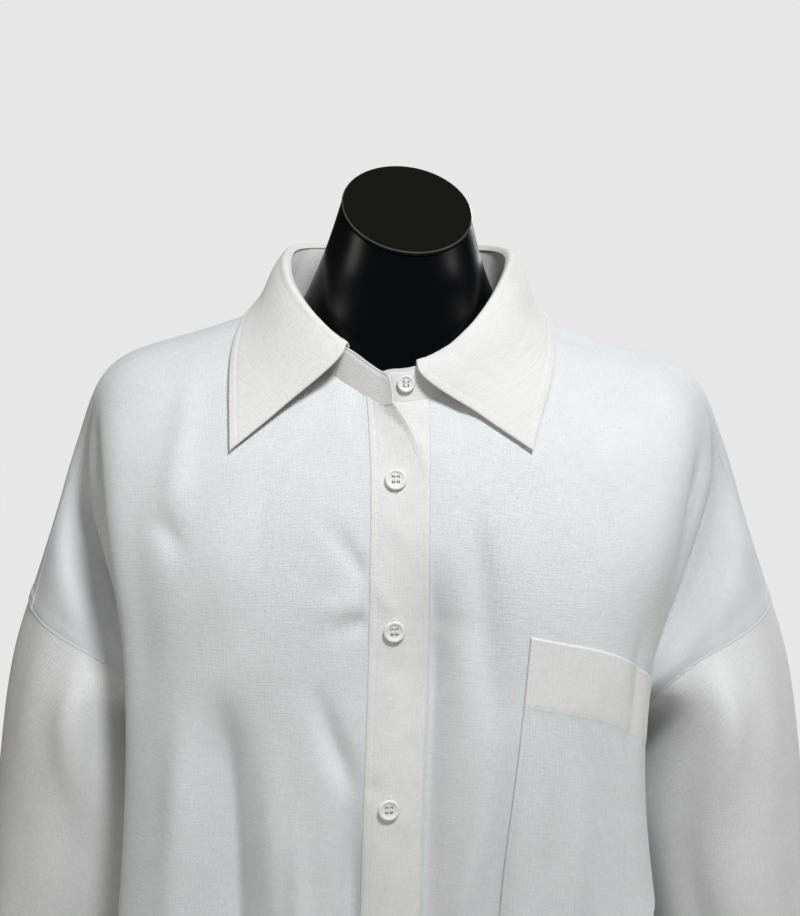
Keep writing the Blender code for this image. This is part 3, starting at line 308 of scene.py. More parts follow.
def form_neck(finish):
    """The neck: level ellipses that lean over into the slanted ellipse of its cut."""
    angle = np.linspace(0, 2 * math.pi, NECK_SIDES, endpoint=False)
    s, c = np.sin(angle)[:, None], np.cos(angle)[:, None]
    centre, right, back, up = cap_axes()
    rings = []
    for level, width, depth, middle in NECK:
        rings.append(np.concatenate([width * s, middle - depth * c, np.full_like(s, level)], axis=-1))
    rim = centre - up * 0.2 + CAP_HALF_WIDTH * s * right - CAP_HALF_LENGTH * c * back
    rings.append(0.5 * rings[-1] + 0.5 * rim - np.concatenate([s, -c, 0 * s], axis=-1) * 1.2)
    rings.append(rim)
    fine = curve_through(NECK_KNOTS, np.array(rings), np.linspace(0.0, NECK_KNOTS[-1], NECK_RINGS))
    return put_piece("form_neck", fine + FLOOR_LIFT, finish)


def face_outwards(piece):
    """Turn a closed mesh's faces to look outwards, after its doubled points are merged."""
    work = bmesh.new()
    work.from_mesh(piece.data)
    bmesh.ops.remove_doubles(work, verts=work.verts, dist=0.01 * MM)
    bmesh.ops.dissolve_degenerate(work, edges=work.edges, dist=0.01 * MM)
    bmesh.ops.recalc_face_normals(work, faces=work.faces)
    work.to_mesh(piece.data)
    work.free()


gloss = grained("form_gloss", FORM_BLACK, 0.24, 0.36, 60.0, 0.04, gleam=0.4)
torso = form_torso(gloss)
neck = form_neck(gloss)
face_outwards(torso)
face_outwards(neck)

# Neck plate
# A flat plate let into the slanted cut of the neck, a little duller than the form, with a
# small glossier round along its rim, whose lighter grey is a painted highlight.
CAP_BLACK = (0.0075, 0.0078, 0.007)
RIM_HIGHLIGHT_GREY = (0.075, 0.075, 0.072)
CAP_ROUNDING = 1.0


def neck_plate(finish):
    """A thin disc on the cut: an ellipse whose rim turns in over a small quarter circle."""
    angle = np.linspace(0, 2 * math.pi, NECK_SIDES, endpoint=False)
    s, c = np.sin(angle)[:, None], np.cos(angle)[:, None]
    centre, right, back, up = cap_axes()
    edge = rounded_edge(0.2, CAP_THICKNESS, CAP_ROUNDING)
    inner = [(-3.0, CAP_THICKNESS), (-20.0, CAP_THICKNESS)]
    profile = np.concatenate([[(-0.8, 0.0), (0.2, 0.8)], edge, inner])
    rings = [centre + (CAP_HALF_WIDTH + out) * s * right - (CAP_HALF_LENGTH + out) * c * back + up * height
             for out, height in profile]
    return put_piece("neck_plate", np.array(rings) + FLOOR_LIFT, finish, "neck_cap")


plate = neck_plate(grained("cap_satin", CAP_BLACK, 0.3, 0.42, 260.0, 0.03, gleam=0.16))
face_outwards(plate)
# The rim's finish is ten times lighter than the plate: a painted highlight along the rounded rim
plate.data.materials.append(grained("cap_rim_painted_highlight", RIM_HIGHLIGHT_GREY, 0.2, 0.3, 260.0, 0.03))
# The faces follow one another from the foot cap outwards, so the rim faces with the painted
# highlight are the fifth to seventh rings of quads after it
highlit_rim = np.zeros(len(plate.data.polygons), np.int32)
highlit_rim[1 + 4 * NECK_SIDES:1 + 7 * NECK_SIDES] = 1
plate.data.polygons.foreach_set("material_index", highlit_rim)

# Left front
# One ply of cotton twill, cut from the neckline to the curved hem. It hangs from the shoulder,
# turns back in a deep fold in front of the arm and is sewn to the sleeve at the dropped armhole.
CLOTH = 1.0
STIFF_CLOTH = 1.4
SEAM_GAP = 0.05
LAYER_GAP = 0.4
HALF_WIDTH = 340.0
FOLD_EDGE = 190.0
# Level sections of the fronts and of the back: how far out the cloth lies at its guides
SECTION_COLUMNS = ("level", "centre", "chest", "bust", "edge_right", "edge_left", "edge_out", "sway")
FRONT_SECTIONS = (
    (-195.0, 126.0, 129.0, 123.0, 165.0, 149.0, 92.0, -2.0),
    (-288.0, 140.0, 138.0, 128.0, 167.0, 147.0, 94.0, -5.0),
    (-420.0, 142.0, 141.0, 133.0, 178.0, 164.0, 97.0, -8.0),
    (-570.0, 142.0, 142.0, 136.0, 187.0, 180.0, 102.0, -10.0),
    (-740.0, 142.0, 143.0, 140.0, 198.0, 196.0, 110.0, -11.0),
)
BACK_SECTIONS = (
    (-180.0, 98.0, 102.0, 99.0, 166.0, 160.0, 74.0, 0.0),
    (-288.0, 103.0, 106.0, 103.0, 168.0, 160.0, 78.0, 0.0),
    (-420.0, 108.0, 110.0, 107.0, 178.0, 170.0, 84.0, 0.0),
    (-570.0, 120.0, 121.0, 118.0, 188.0, 184.0, 92.0, 0.0),
    (-740.0, 126.0, 127.0, 124.0, 199.0, 197.0, 98.0, 0.0),
)
# Below the armhole: where the cloth turns back, swells again and meets the side seam
SIDE_COLUMNS = ("valley", "valley_out", "swell", "swell_out", "side")
SIDES = (
    (150.0, 46.0, 143.0, 20.0, 146.0),
    (174.0, 50.0, 171.0, 22.0, 174.0),
    (196.0, 56.0, 197.0, 26.0, 201.0),
)
# Distances across the cloth, kept by the guides of its net
GUIDES = (0.0, 60.0, 120.0, FOLD_EDGE, 236.0, 290.0, HALF_WIDTH)
CHEST_X = {60.0: 58.0, 120.0: 113.0}
ARMPIT_ROW = 5
HEM_ROW = 8
# Power of the rise from the ridge of the shoulder to the first section, by guide
FRONT_FULLNESS = {0.0: 1.3, 60.0: 1.27, 120.0: 1.22, FOLD_EDGE: 1.2}
BACK_FULLNESS = {0.0: 0.72, 60.0: 0.75, 120.0: 0.85, FOLD_EDGE: 1.0}
# Rows over the shoulder: the cloth beyond its fold edge, out to the armhole seam
DROP_COLUMNS = (
    "valley_x", "valley_out", "valley_z", "swell_x", "swell_out", "swell_z",
    "seam_x", "seam_out", "seam_z",
)
DROP = (
    (205.0, 0.0, -84.0, 222.0, 0.0, -137.0, 240.0, 0.0, -187.0),
    (199.0, 10.0, -104.0, 217.0, 28.0, -146.0, 226.0, 40.0, -191.0),
    (189.0, 19.0, -130.0, 206.0, 46.0, -165.0, 206.0, 57.0, -199.0),
    (172.0, 36.0, -172.0, 184.0, 55.0, -195.0, 184.0, 62.0, -211.0),
    (152.0, 62.0, -224.0, 153.0, 56.0, -233.0, 158.0, 51.0, -239.0),
    (143.0, 48.0, -288.0, 139.0, 24.0, -284.0, 141.0, 0.0, -280.0),
)
# Long folds: distance across at the top and at the foot; rows where each starts, is fullest and
# ends, negative at the front; how far it stands out, and half its width
FOLD_COLUMNS = ("top", "foot", "start", "full", "end", "out", "width")
FOLDS = (
    (-126.0, -172.0, -3.6, -6.0, -12.0, 9.0, 24.0),
    (-88.0, -118.0, -3.8, -6.0, -12.0, -10.0, 20.0),
    (-48.0, -52.0, -4.0, -6.4, -12.0, 4.0, 20.0),
    (46.0, 40.0, -4.0, -6.2, -12.0, -8.0, 18.0),
    (84.0, 82.0, -3.8, -6.2, -12.0, 7.0, 22.0),
    (128.0, 124.0, -4.0, -6.4, -12.0, -6.0, 20.0),
    (160.0, 170.0, -4.4, -6.6, -12.0, 5.0, 18.0),
    (-216.0, -212.0, -0.6, -2.0, -4.4, 6.0, 11.0),
    (214.0, 212.0, -0.6, -2.0, -4.4, 7.0, 11.0),
    (-150.0, -166.0, 3.0, 5.6, 12.0, 9.0, 22.0),
    (-104.0, -112.0, 3.4, 6.0, 12.0, -9.0, 20.0),
    (-52.0, -58.0, 3.6, 6.2, 12.0, 7.0, 24.0),
    (4.0, 8.0, 3.4, 6.4, 12.0, -7.0, 20.0),
    (58.0, 64.0, 3.6, 6.0, 12.0, 8.0, 24.0),
    (108.0, 118.0, 3.2, 6.2, 12.0, -8.0, 20.0),
    (152.0, 168.0, 3.0, 5.8, 12.0, 8.0, 22.0),
    (-214.0, -212.0, 0.6, 2.0, 4.4, 5.0, 12.0),
    (214.0, 212.0, 0.6, 2.0, 4.4, 5.0, 12.0),
)
# Smaller creases, listed one by one: from and to a distance across and a length down the cloth from the
# ridge of the shoulder, negative at the front; how far each stands out, half its width, its bow,
# and how far along it is fullest
CREASE_COLUMNS = ("across_a", "down_a", "across_b", "down_b", "out", "width", "bow", "full")
CREASES = (
    (-126.0, -44.0, -139.0, -180.0, 3.4, 8.0, 2.0, 0.80),
    (-152.0, -166.0, -130.0, -202.0, -3.0, 7.0, 2.0, 0.50),
    (-160.0, -66.0, -160.0, -330.0, -3.4, 14.0, -3.0, 0.60),
    (-82.0, -128.0, -84.0, -226.0, -0.9, 4.5, 1.0, 0.55),
    (-106.0, -120.0, -104.0, -262.0, 1.3, 14.0, 0.0, 0.55),
    (-52.0, -176.0, -18.0, -216.0, -2.8, 5.0, 2.0, 0.75),
    (-66.0, -224.0, -18.0, -222.0, 2.0, 5.0, -2.0, 0.75),
    (-44.0, -240.0, -17.0, -229.0, -2.6, 4.5, 0.0, 0.75),
    (-110.0, -256.0, -98.0, -720.0, -11.0, 12.0, 2.0, 0.14),
    (-80.0, -270.0, -66.0, -640.0, 4.4, 10.0, 2.0, 0.25),
    (-50.0, -252.0, -22.0, -336.0, -6.0, 7.0, -2.0, 0.60),
    (-25.0, -290.0, -24.0, -700.0, -9.0, 8.5, 0.0, 0.25),
    (-60.0, -316.0, -40.0, -600.0, 4.6, 7.0, -3.0, 0.35),
    (-134.0, -262.0, -146.0, -600.0, 4.6, 10.0, 2.0, 0.25),
    (19.0, -190.0, 20.0, -720.0, -14.0, 14.0, 0.0, 0.14),
    (40.0, -168.0, 62.0, -310.0, -5.6, 9.0, 2.0, 0.50),
    (40.0, -160.0, 52.0, -226.0, -2.4, 4.5, 0.0, 0.60),
    (56.0, -296.0, 30.0, -480.0, 5.6, 6.5, 2.0, 0.55),
    (68.0, -280.0, 52.0, -560.0, -5.4, 8.0, 2.0, 0.40),
    (18.0, -230.0, 62.0, -238.0, -1.2, 4.0, 0.0, 0.20),
    (112.0, -286.0, 104.0, -560.0, 3.4, 12.0, 3.0, 0.40),
    (88.0, -300.0, 78.0, -560.0, -3.4, 10.0, 3.0, 0.40),
    (166.0, -226.0, 158.0, -340.0, -2.8, 9.0, 2.0, 0.40),
    (30.0, -104.0, 38.0, -150.0, -1.1, 3.6, 1.0, 0.35),
    (40.0, -98.0, 52.0, -142.0, 1.1, 3.6, 1.0, 0.35),
    (50.0, -92.0, 66.0, -132.0, -1.0, 3.6, 1.0, 0.35),
    (-40.0, -96.0, -56.0, -150.0, -1.0, 5.0, 1.0, 0.35),
    (-19.0, -206.0, 2.0, -236.0, 1.6, 4.5, 0.0, 0.50),
    (-6.0, -128.0, 17.0, -142.0, -1.2, 4.0, 0.0, 0.60),
    (-14.0, -176.0, 12.0, -204.0, 1.2, 6.0, 0.0, 0.50),
    (-12.0, -244.0, 12.0, -262.0, -1.3, 6.0, 0.0, 0.50),
    (2.0, -292.0, 17.0, -312.0, -1.3, 4.0, 0.0, 0.50),
    (-18.0, -318.0, -4.0, -330.0, -1.4, 4.5, 0.0, 0.50),
    (-4.0, -336.0, 16.0, -350.0, 1.2, 5.0, 0.0, 0.50),
    (-198.0, -52.0, -202.0, -280.0, -6.0, 5.0, 0.0, 0.50),
    (200.0, -84.0, 206.0, -215.0, -5.4, 5.5, 0.0, 0.50),
    (232.0, -52.0, 240.0, -262.0, -10.0, 11.0, 2.0, 0.55),
    (-232.0, -56.0, -242.0, -250.0, -9.0, 11.0, -2.0, 0.60),
    (-128.0, 226.0, -70.0, 340.0, 4.4, 9.0, 5.0, 0.50),
    (118.0, 236.0, 46.0, 372.0, -5.4, 9.0, -6.0, 0.50),
    (-104.0, 262.0, -96.0, 720.0, -7.5, 9.0, 5.0, 0.40),
    (-30.0, 290.0, -20.0, 560.0, 5.2, 10.0, 5.0, 0.45),
    (8.0, 330.0, 12.0, 800.0, -7.0, 9.0, -4.0, 0.40),
    (80.0, 400.0, 94.0, 790.0, 6.0, 9.0, -4.0, 0.45),
    (54.0, 420.0, 60.0, 810.0, -5.6, 8.0, 4.0, 0.55),
    (-66.0, 420.0, -58.0, 810.0, 5.4, 9.0, 4.0, 0.45),
    (126.0, 300.0, 136.0, 700.0, -6.0, 10.0, 4.0, 0.50),
    (-172.0, 280.0, -162.0, 620.0, -5.4, 9.0, -4.0, 0.40),
    (176.0, 280.0, 168.0, 560.0, 4.4, 9.0, 3.0, 0.40),
    (-200.0, 60.0, -198.0, 250.0, -2.8, 6.0, 2.0, 0.50),
    (200.0, 60.0, 198.0, 250.0, -2.8, 6.0, -2.0, 0.50),
)
BAND_STIFFNESS = 0.35  # the share of a crease that the stiff band takes out
# Length down the cloth from the ridge at each row
DOWN_AT_ROW = (0.0, 64.0, 128.0, 192.0, 256.0, 349.0, 481.0, 631.0, 801.0)
NECK_HALF_WIDTH = 72.0
NECK_FRONT_ROW = 1.96
YOKE_FRONT_ROW = 0.6
POCKET_TOP = 80.0
POCKET_FOOT = 60.0
POCKET_WIDTH = 126.0
HEM_RISE = 0.32
BAND_HALF_WIDTH = 17.5
COOL_WHITE = (0.725, 0.735, 0.742)
THREAD_WHITE = (0.80, 0.80, 0.78)
THREAD_SINK = 0.12
THREAD_BOW = 0.16
EDGE_ROUNDING = 0.8
STITCH_DENT = 0.25
# Flat width, flat length, and the share of that rectangle that was kept
HEM_DEPTH = 13.0
HEM_STITCH = 12.0
ARMHOLE_ALLOWANCE = 8.0
ARMHOLE_STITCH = 1.6
HEM_CORNER = 14.0
CLOTH_STEP = 3.7
TWILL_SCALE = 0.444  # ribs about a millimetre apart
# The net's weights are worked out beforehand, at this step of row and at each millimetre across
FIRST_ROW = -8.4
ROW_STEP = 0.02
FIRST_ACROSS = -346.0


def ease(t):
    """Smooth step from 0 to 1: three t squared less two t cubed."""
    t = np.clip(t, 0.0, 1.0)
    return t * t * (3 - 2 * t)


def named(table, columns):
    """Rows of a table as dicts by column name."""
    return [dict(zip(columns, row)) for row in table]


def net_row(side, front, row):
    """Points of one row of the drape at the guides, from the centre to the armhole or side seam."""
    sections = named(FRONT_SECTIONS if front else BACK_SECTIONS, SECTION_COLUMNS)
    forward = -1.0 if front else 1.0
    edge = "edge_left" if side > 0 else "edge_right"
    ridge_z = "left_z" if side > 0 else "right_z"
    first = sections[0]
    points = []
    if row < DOME_STEPS:
        turn = 0.5 * math.pi * row / DOME_STEPS
        outs = (first["centre"], first["chest"], first["bust"], first["edge_out"])
        for across, out in zip(GUIDES[:4], outs):
            top = next(r for r in named(RIDGE, RIDGE_COLUMNS) if r["across"] == across)
            foot_x = first[edge] if across == FOLD_EDGE else CHEST_X.get(across, 0.0)
            fullness = (FRONT_FULLNESS if front else BACK_FULLNESS)[across]
            x = top["x"] + (foot_x - top["x"]) * (1 - math.cos(turn))
            z = top[ridge_z] + (first["level"] - top[ridge_z]) * (1 - math.cos(turn))
            points.append((side * x, forward * out * math.sin(turn) ** fullness, z))
    else:
        section = sections[row - DOME_STEPS]
        sway = section["sway"]
        chest_x, bust_x = side * CHEST_X[60.0] + 0.7 * sway, side * CHEST_X[120.0] + 0.3 * sway
        points.append((sway, forward * section["centre"], section["level"]))
        points.append((chest_x, forward * section["chest"], section["level"]))
        points.append((bust_x, forward * section["bust"], section["level"]))
        points.append((side * section[edge], forward * section["edge_out"], section["level"]))
    if row <= ARMPIT_ROW:
        drop = dict(zip(DROP_COLUMNS, DROP[row]))
        for part in ("valley", "swell", "seam"):
            points.append((side * drop[part + "_x"], forward * drop[part + "_out"], drop[part + "_z"]))
    else:
        level = section["level"]
        flank = dict(zip(SIDE_COLUMNS, SIDES[row - ARMPIT_ROW - 1]))
        points.append((side * flank["valley"], forward * flank["valley_out"], level))
        points.append((side * flank["swell"], forward * flank["swell_out"], level))
        points.append((side * flank["side"], 0.0, level))
    return points


def drape_net():
    """Rows from the front hem over the shoulders to the back hem, guides from right to left."""
    rows = []
    for row in range(-HEM_ROW, HEM_ROW + 1):
        right = net_row(-1.0, row < 0, abs(row))
        left = net_row(1.0, row < 0, abs(row))
        rows.append(right[:0:-1] + left)
    return np.array(rows)


NET = drape_net()
NET_ROWS = np.arange(-HEM_ROW, HEM_ROW + 1, dtype=float)
NET_GUIDES = np.array([-g for g in GUIDES[:0:-1]] + list(GUIDES))


def averaged(knots, at, spread):
    """Weights of the net's lines: those of the cubic curve, averaged over five places either way."""
    places = at + spread * np.arange(-2.0, 2.5)[:, None]
    shares = np.array((1.0, 4.0, 6.0, 4.0, 1.0)) / 16
    return np.tensordot(shares, curve_through(knots, np.eye(len(knots)), places), axes=1)


across_places = np.arange(FIRST_ACROSS, -FIRST_ACROSS + 0.5, 1.0)
body_share = 1 - ease((np.abs(across_places) - 130.0) / 50.0)
spread = np.minimum(4.0 + 10.0 * body_share, np.clip((HALF_WIDTH - np.abs(across_places)) / 3, 0.0, None))
ACROSS_WEIGHTS = averaged(NET_GUIDES, across_places, spread)
row_places = np.arange(FIRST_ROW, -FIRST_ROW + 0.01, ROW_STEP)
ROW_WEIGHTS = averaged(NET_ROWS, row_places, np.full(len(row_places), 0.16))


def read_between(weights, first, step, at):
    """Weights at any place, straight between the entries worked out beforehand."""
    place = np.clip((at.ravel() - first) / step, 0.0, len(weights) - 1.001)
    entry = place.astype(int)
    share = (place - entry)[:, None]
    return weights[entry] * (1 - share) + weights[entry + 1] * share


def bare_drape(across, row):
    """The cloth without folds: smooth curves through the net, along its rows and its guides."""
    across, row = np.broadcast_arrays(across, row)
    by_row = read_between(ROW_WEIGHTS, FIRST_ROW, ROW_STEP, row)
    by_guide = read_between(ACROSS_WEIGHTS, FIRST_ACROSS, 1.0, across)
    made = np.stack([np.sum((by_row @ NET[:, :, k]) * by_guide, axis=1) for k in range(3)], axis=-1)
    side = np.where(across.ravel() < 0, by_row @ NET[:, 0, 1], by_row @ NET[:, -1, 1])
    near_side = ease((np.abs(across.ravel()) - GUIDES[-2]) / (HALF_WIDTH - GUIDES[-2]))
    made[:, 1] -= side * (np.abs(row.ravel()) > ARMPIT_ROW) * near_side
    return made.reshape(*across.shape, 3)


def outwards(surface, across, row):
    """Unit normals away from the body: the cross of the steps across and down the surface."""
    near, small = 1.5, 0.04
    along = surface(across + near, row) - surface(across - near, row)
    down = surface(across, row + small) - surface(across, row - small)
    normal = np.cross(along, down)
    return normal / np.linalg.norm(normal, axis=-1, keepdims=True)


def fold_height(across, row):
    """How far folds stand out: each is a bell across the cloth that swells and dies along it."""
    height = np.zeros(across.shape)
    for fold in named(FOLDS, FOLD_COLUMNS):
        along = row * math.copysign(1.0, fold["full"])
        start, full, end = (abs(fold[k]) for k in ("start", "full", "end"))
        swell = ease((along - start) / (full - start)) * (1 - ease((along - full) / (end - full)))
        middle = fold["top"] + (fold["foot"] - fold["top"]) * (along - start) / (HEM_ROW - start)
        bell = np.exp(-(((across - middle) / fold["width"]) ** 2))
        height += np.where(along > start, fold["out"] * swell * bell, 0.0)
    return height


def down_at(row):
    """Length down the cloth from the ridge at a row, negative at the front."""
    return np.sign(row) * np.interp(np.abs(row), np.arange(9.0), DOWN_AT_ROW)


def crease_height(across, down):
    """Small creases: a bell about a bowed line, that eases in and out along the line."""
    height = np.zeros(across.shape)
    for crease in named(CREASES, CREASE_COLUMNS):
        start = np.array((crease["across_a"], crease["down_a"]))
        run = np.array((crease["across_b"], crease["down_b"])) - start
        length = math.hypot(*run)
        along = ((across - start[0]) * run[0] + (down - start[1]) * run[1]) / length**2
        aside = ((across - start[0]) * -run[1] + (down - start[1]) * run[0]) / length
        aside = aside - crease["bow"] * 4 * along * (1 - along)
        swell = ease(along / crease["full"]) * (1 - ease((along - crease["full"]) / (1 - crease["full"])))
        height += crease["out"] * swell * np.exp(-((aside / crease["width"]) ** 2))
    stiff = (1 - ease((np.abs(across) - BAND_HALF_WIDTH + 2.0) / 5.0)) * (down < 0)
    return height * (1 - BAND_STIFFNESS * stiff)


def drape(across, row):
    """The inner face of the cloth: the bare drape moved out along its normals by the folds."""
    height = fold_height(across, row) + crease_height(across, down_at(row))
    return bare_drape(across, row) + outwards(bare_drape, across, row) * height[..., None]


def neck_row(across):
    """Row of the front neckline at a distance across: half an ellipse."""
    return -NECK_FRONT_ROW * np.sqrt(np.clip(1 - (across / NECK_HALF_WIDTH) ** 2, 0, 1))


def hem_row(across):
    """Row of the hem, which rises in a soft curve to the side seams."""
    return HEM_ROW - HEM_RISE * ease((np.abs(across) - 120.0) / (HALF_WIDTH - 120.0)) ** 1.2


def grain_line(columns, row):
    """Columns of a front, which lean with the sides of the pocket and straighten towards the side."""
    columns = np.broadcast_to(columns, row.shape)
    size = np.abs(columns)
    window = ease((size - BAND_HALF_WIDTH) / (POCKET_TOP - BAND_HALF_WIDTH))
    window = window * (1 - ease((size - POCKET_TOP - POCKET_WIDTH) / 60.0))
    lean = (POCKET_TOP - POCKET_FOOT) * ease((-row - 3.0) / 4.0) * (row < 0)
    return columns - np.sign(columns) * window * lean


def half_gap_across(row):
    """Half the seam gap at the armhole and the side seams, as distance across."""
    edge = np.full_like(row, HALF_WIDTH)
    length = np.linalg.norm(bare_drape(edge, row) - bare_drape(edge - 2.0, row), axis=-1)
    return SEAM_GAP * np.clip(2.0 / length, 1.0, 3.0)


def trimmed(across, row):
    """The same grid with its outermost columns drawn back from the seam."""
    edge = HALF_WIDTH - half_gap_across(row)
    return np.clip(across, -edge, edge)


def gap_in_rows(across, row):
    """The seam gap counted in rows, which are closer together over the shoulder."""
    small = 0.05
    length = np.linalg.norm(bare_drape(across, row + small) - bare_drape(across, row - small), axis=-1)
    return 1.6 * SEAM_GAP * 2 * small / length


def graded(length, step, edge_step=0.7, edge=7.0):
    """Shares from 0 to 1 of a length: close together at both ends, a plain step between."""
    near = np.concatenate([(0.0, 0.12, 0.32, 0.65), np.arange(1.1, edge, edge_step)])
    near = near[near < 0.5 * length - 0.5]
    count = max(int(round((length - 2 * near[-1]) / step)), 2)
    middle = np.linspace(near[-1], length - near[-1], count + 1)
    return np.concatenate([near[:-1], middle, length - near[-2::-1]]) / length


def strip_of(columns, top, foot, shares):
    """Distances across and rows of a grid: each column runs from its top row to its foot row."""
    across = np.repeat(columns[:, None], len(shares), axis=1)
    return across, top[:, None] + (foot - top)[:, None] * shares


def shares_down(across, top, foot, step):
    """Shares of a column from top row to foot row that lie a graded step apart on the cloth."""
    dense = np.linspace(0.0, 1.0, 600)
    line = bare_drape(np.full(600, float(across)), top + (foot - top) * dense)
    run = np.concatenate([[0.0], np.cumsum(np.linalg.norm(np.diff(line, axis=0), axis=1))])
    return np.interp(graded(run[-1], step) * run[-1], run, dense)


def lengths(points, axis):
    """Length run along one axis of a grid of points, from its first edge."""
    step = np.linalg.norm(np.diff(points, axis=axis), axis=-1)
    zero = np.zeros((1, points.shape[1]) if axis == 0 else (points.shape[0], 1))
    return np.concatenate([zero, np.cumsum(step, axis=axis)], axis=axis)


def grid_normals(points, closed=False):
    """Unit normals of a grid: the cross of its steps along the first axis and down the second."""
    if closed:
        along = np.roll(points, -1, axis=0) - np.roll(points, 1, axis=0)
    else:
        along = np.gradient(points, axis=0)
    normal = np.cross(along, np.gradient(points, axis=1))
    return normal / np.linalg.norm(normal, axis=-1, keepdims=True)


def wall_faces(count, depth, closed):
    """Quads of a closed wall: an inner and an outer grid, joined round their edges."""
    size = count * depth
    index = np.arange(size).reshape(count, depth)
    if closed:
        index = np.concatenate([index, index[:1]])
    a, b, c, d = index[:-1, :-1], index[1:, :-1], index[1:, 1:], index[:-1, 1:]
    quads = [np.stack([a, d, c, b], -1), np.stack([a, b, c, d], -1) + size]
    for low, high in ((index[:-1, 0], index[1:, 0]), (index[1:, -1], index[:-1, -1])):
        quads.append(np.stack([low, high, high + size, low + size], -1))
    if not closed:
        for low, high in ((index[0, 1:], index[0, :-1]), (index[-1, :-1], index[-1, 1:])):
            quads.append(np.stack([low, high, high + size, low + size], -1))
    return np.concatenate([q.reshape(-1, 4) for q in quads])


def looking_away(base, middle=(0.0, 0.0, 0.0)):
    """Normals of a grid turned, all or none, to look away from the upright axis through a middle."""
    normal = grid_normals(base)
    return normal if np.sum(normal * (base - np.asarray(middle)) * (1.0, 1.0, 0.0)) > 0 else -normal


def insets(along, down):
    """How far in from each edge of a piece every point of its grid lies."""
    return {"start": along, "end": along[-1:] - along, "top": down, "foot": down[:, -1:] - down}


def cloth_wall(name, base, normal, thickness, finish, node, relief=None, closed=False, folded=(), lay=None):
    """A cloth piece: a wall either side of a grid, with its own relief and half-round folded edges.

    The outer face lies a thickness out along the normals and the inner face on the base; within
    the rounding of a folded edge both draw together as a half circle. The map holds each point's
    place on the flat cloth in millimetres: the given lay, or the lengths run along and down it.
    """
    along, down = lengths(base, 0), lengths(base, 1)
    inset = insets(along, down)
    edge = np.min([inset[side] for side in folded], axis=0) if folded else np.full(along.shape, 9.0)
    reach = np.clip(edge / EDGE_ROUNDING, 0.0, 1.0)
    half = 0.5 * thickness * np.sqrt(1 - (1 - reach) ** 2).clip(0.12, 1.0)
    lift = np.zeros(base.shape[:2]) if relief is None else relief(inset)
    middle = base + normal * (0.5 * thickness)
    inner = middle - normal * half[..., None]
    outer = middle + normal * (half + lift * reach)[..., None]
    count, depth = base.shape[:2]
    quads = wall_faces(count, depth, closed)
    facing = np.cross(np.diff(inner, axis=0)[:, :-1], np.diff(inner, axis=1)[:-1])
    if np.sum(facing * (outer - inner)[:-1, :-1]) < 0:
        quads = quads[:, ::-1]
    verts = np.concatenate([inner.reshape(-1, 3), outer.reshape(-1, 3)]) + FLOOR_LIFT
    piece = put_quads(name, verts, quads, finish, node)
    flat = np.stack(lay or (along, down), axis=-1).reshape(-1, 2)
    cut = piece.data.uv_layers.new(name="cloth")
    cut.data.foreach_set("uv", np.concatenate([flat, flat])[corners(piece)].astype(np.float32).ravel())
    return {"piece": piece, "outer": outer, "normal": normal, "along": along, "down": down}


def turned_edge(inset, width, lift, stitch):
    """Relief of a turned edge: raised as far as its width and dented along its stitching."""
    return lift * (1 - ease((inset - width) / 1.5)) - STITCH_DENT * np.exp(-(((inset - stitch) / 0.8) ** 2))


def front_relief(inset):
    """A turned hem at the foot, and the seam allowance that shows beside the armhole."""
    hem = turned_edge(inset["foot"], HEM_DEPTH, 0.5, HEM_STITCH)
    return hem + turned_edge(inset["end"], ARMHOLE_ALLOWANCE, 0.35, ARMHOLE_STITCH)


def corners(piece):
    """The vertex at each corner of a piece's faces, face by face."""
    made = np.zeros(len(piece.data.loops), np.int32)
    piece.data.loops.foreach_get("vertex_index", made)
    return made


def put_quads(name, verts, quads, finish, node=None):
    """A piece of cotton from arrays of points in millimetres above the floor and of quads."""
    mesh = bpy.data.meshes.new(name)
    mesh.vertices.add(len(verts))
    mesh.vertices.foreach_set("co", (np.asarray(verts) * MM).astype(np.float32).ravel())
    mesh.loops.add(quads.size)
    mesh.loops.foreach_set("vertex_index", quads.astype(np.int32).ravel())
    mesh.polygons.add(len(quads))
    mesh.polygons.foreach_set("loop_start", np.arange(0, quads.size, 4, dtype=np.int32))
    mesh.update(calc_edges=True)
    mesh.validate()
    mesh.shade_smooth()
    mesh.materials.append(finish)
    return put_mesh(name, mesh, node)


def reckon(tree, operation, *values):
    """A sum or product of numbers and of other nodes' outputs."""
    return add_node(tree, "ShaderNodeMath", enumerate(values), operation=operation).outputs[0]


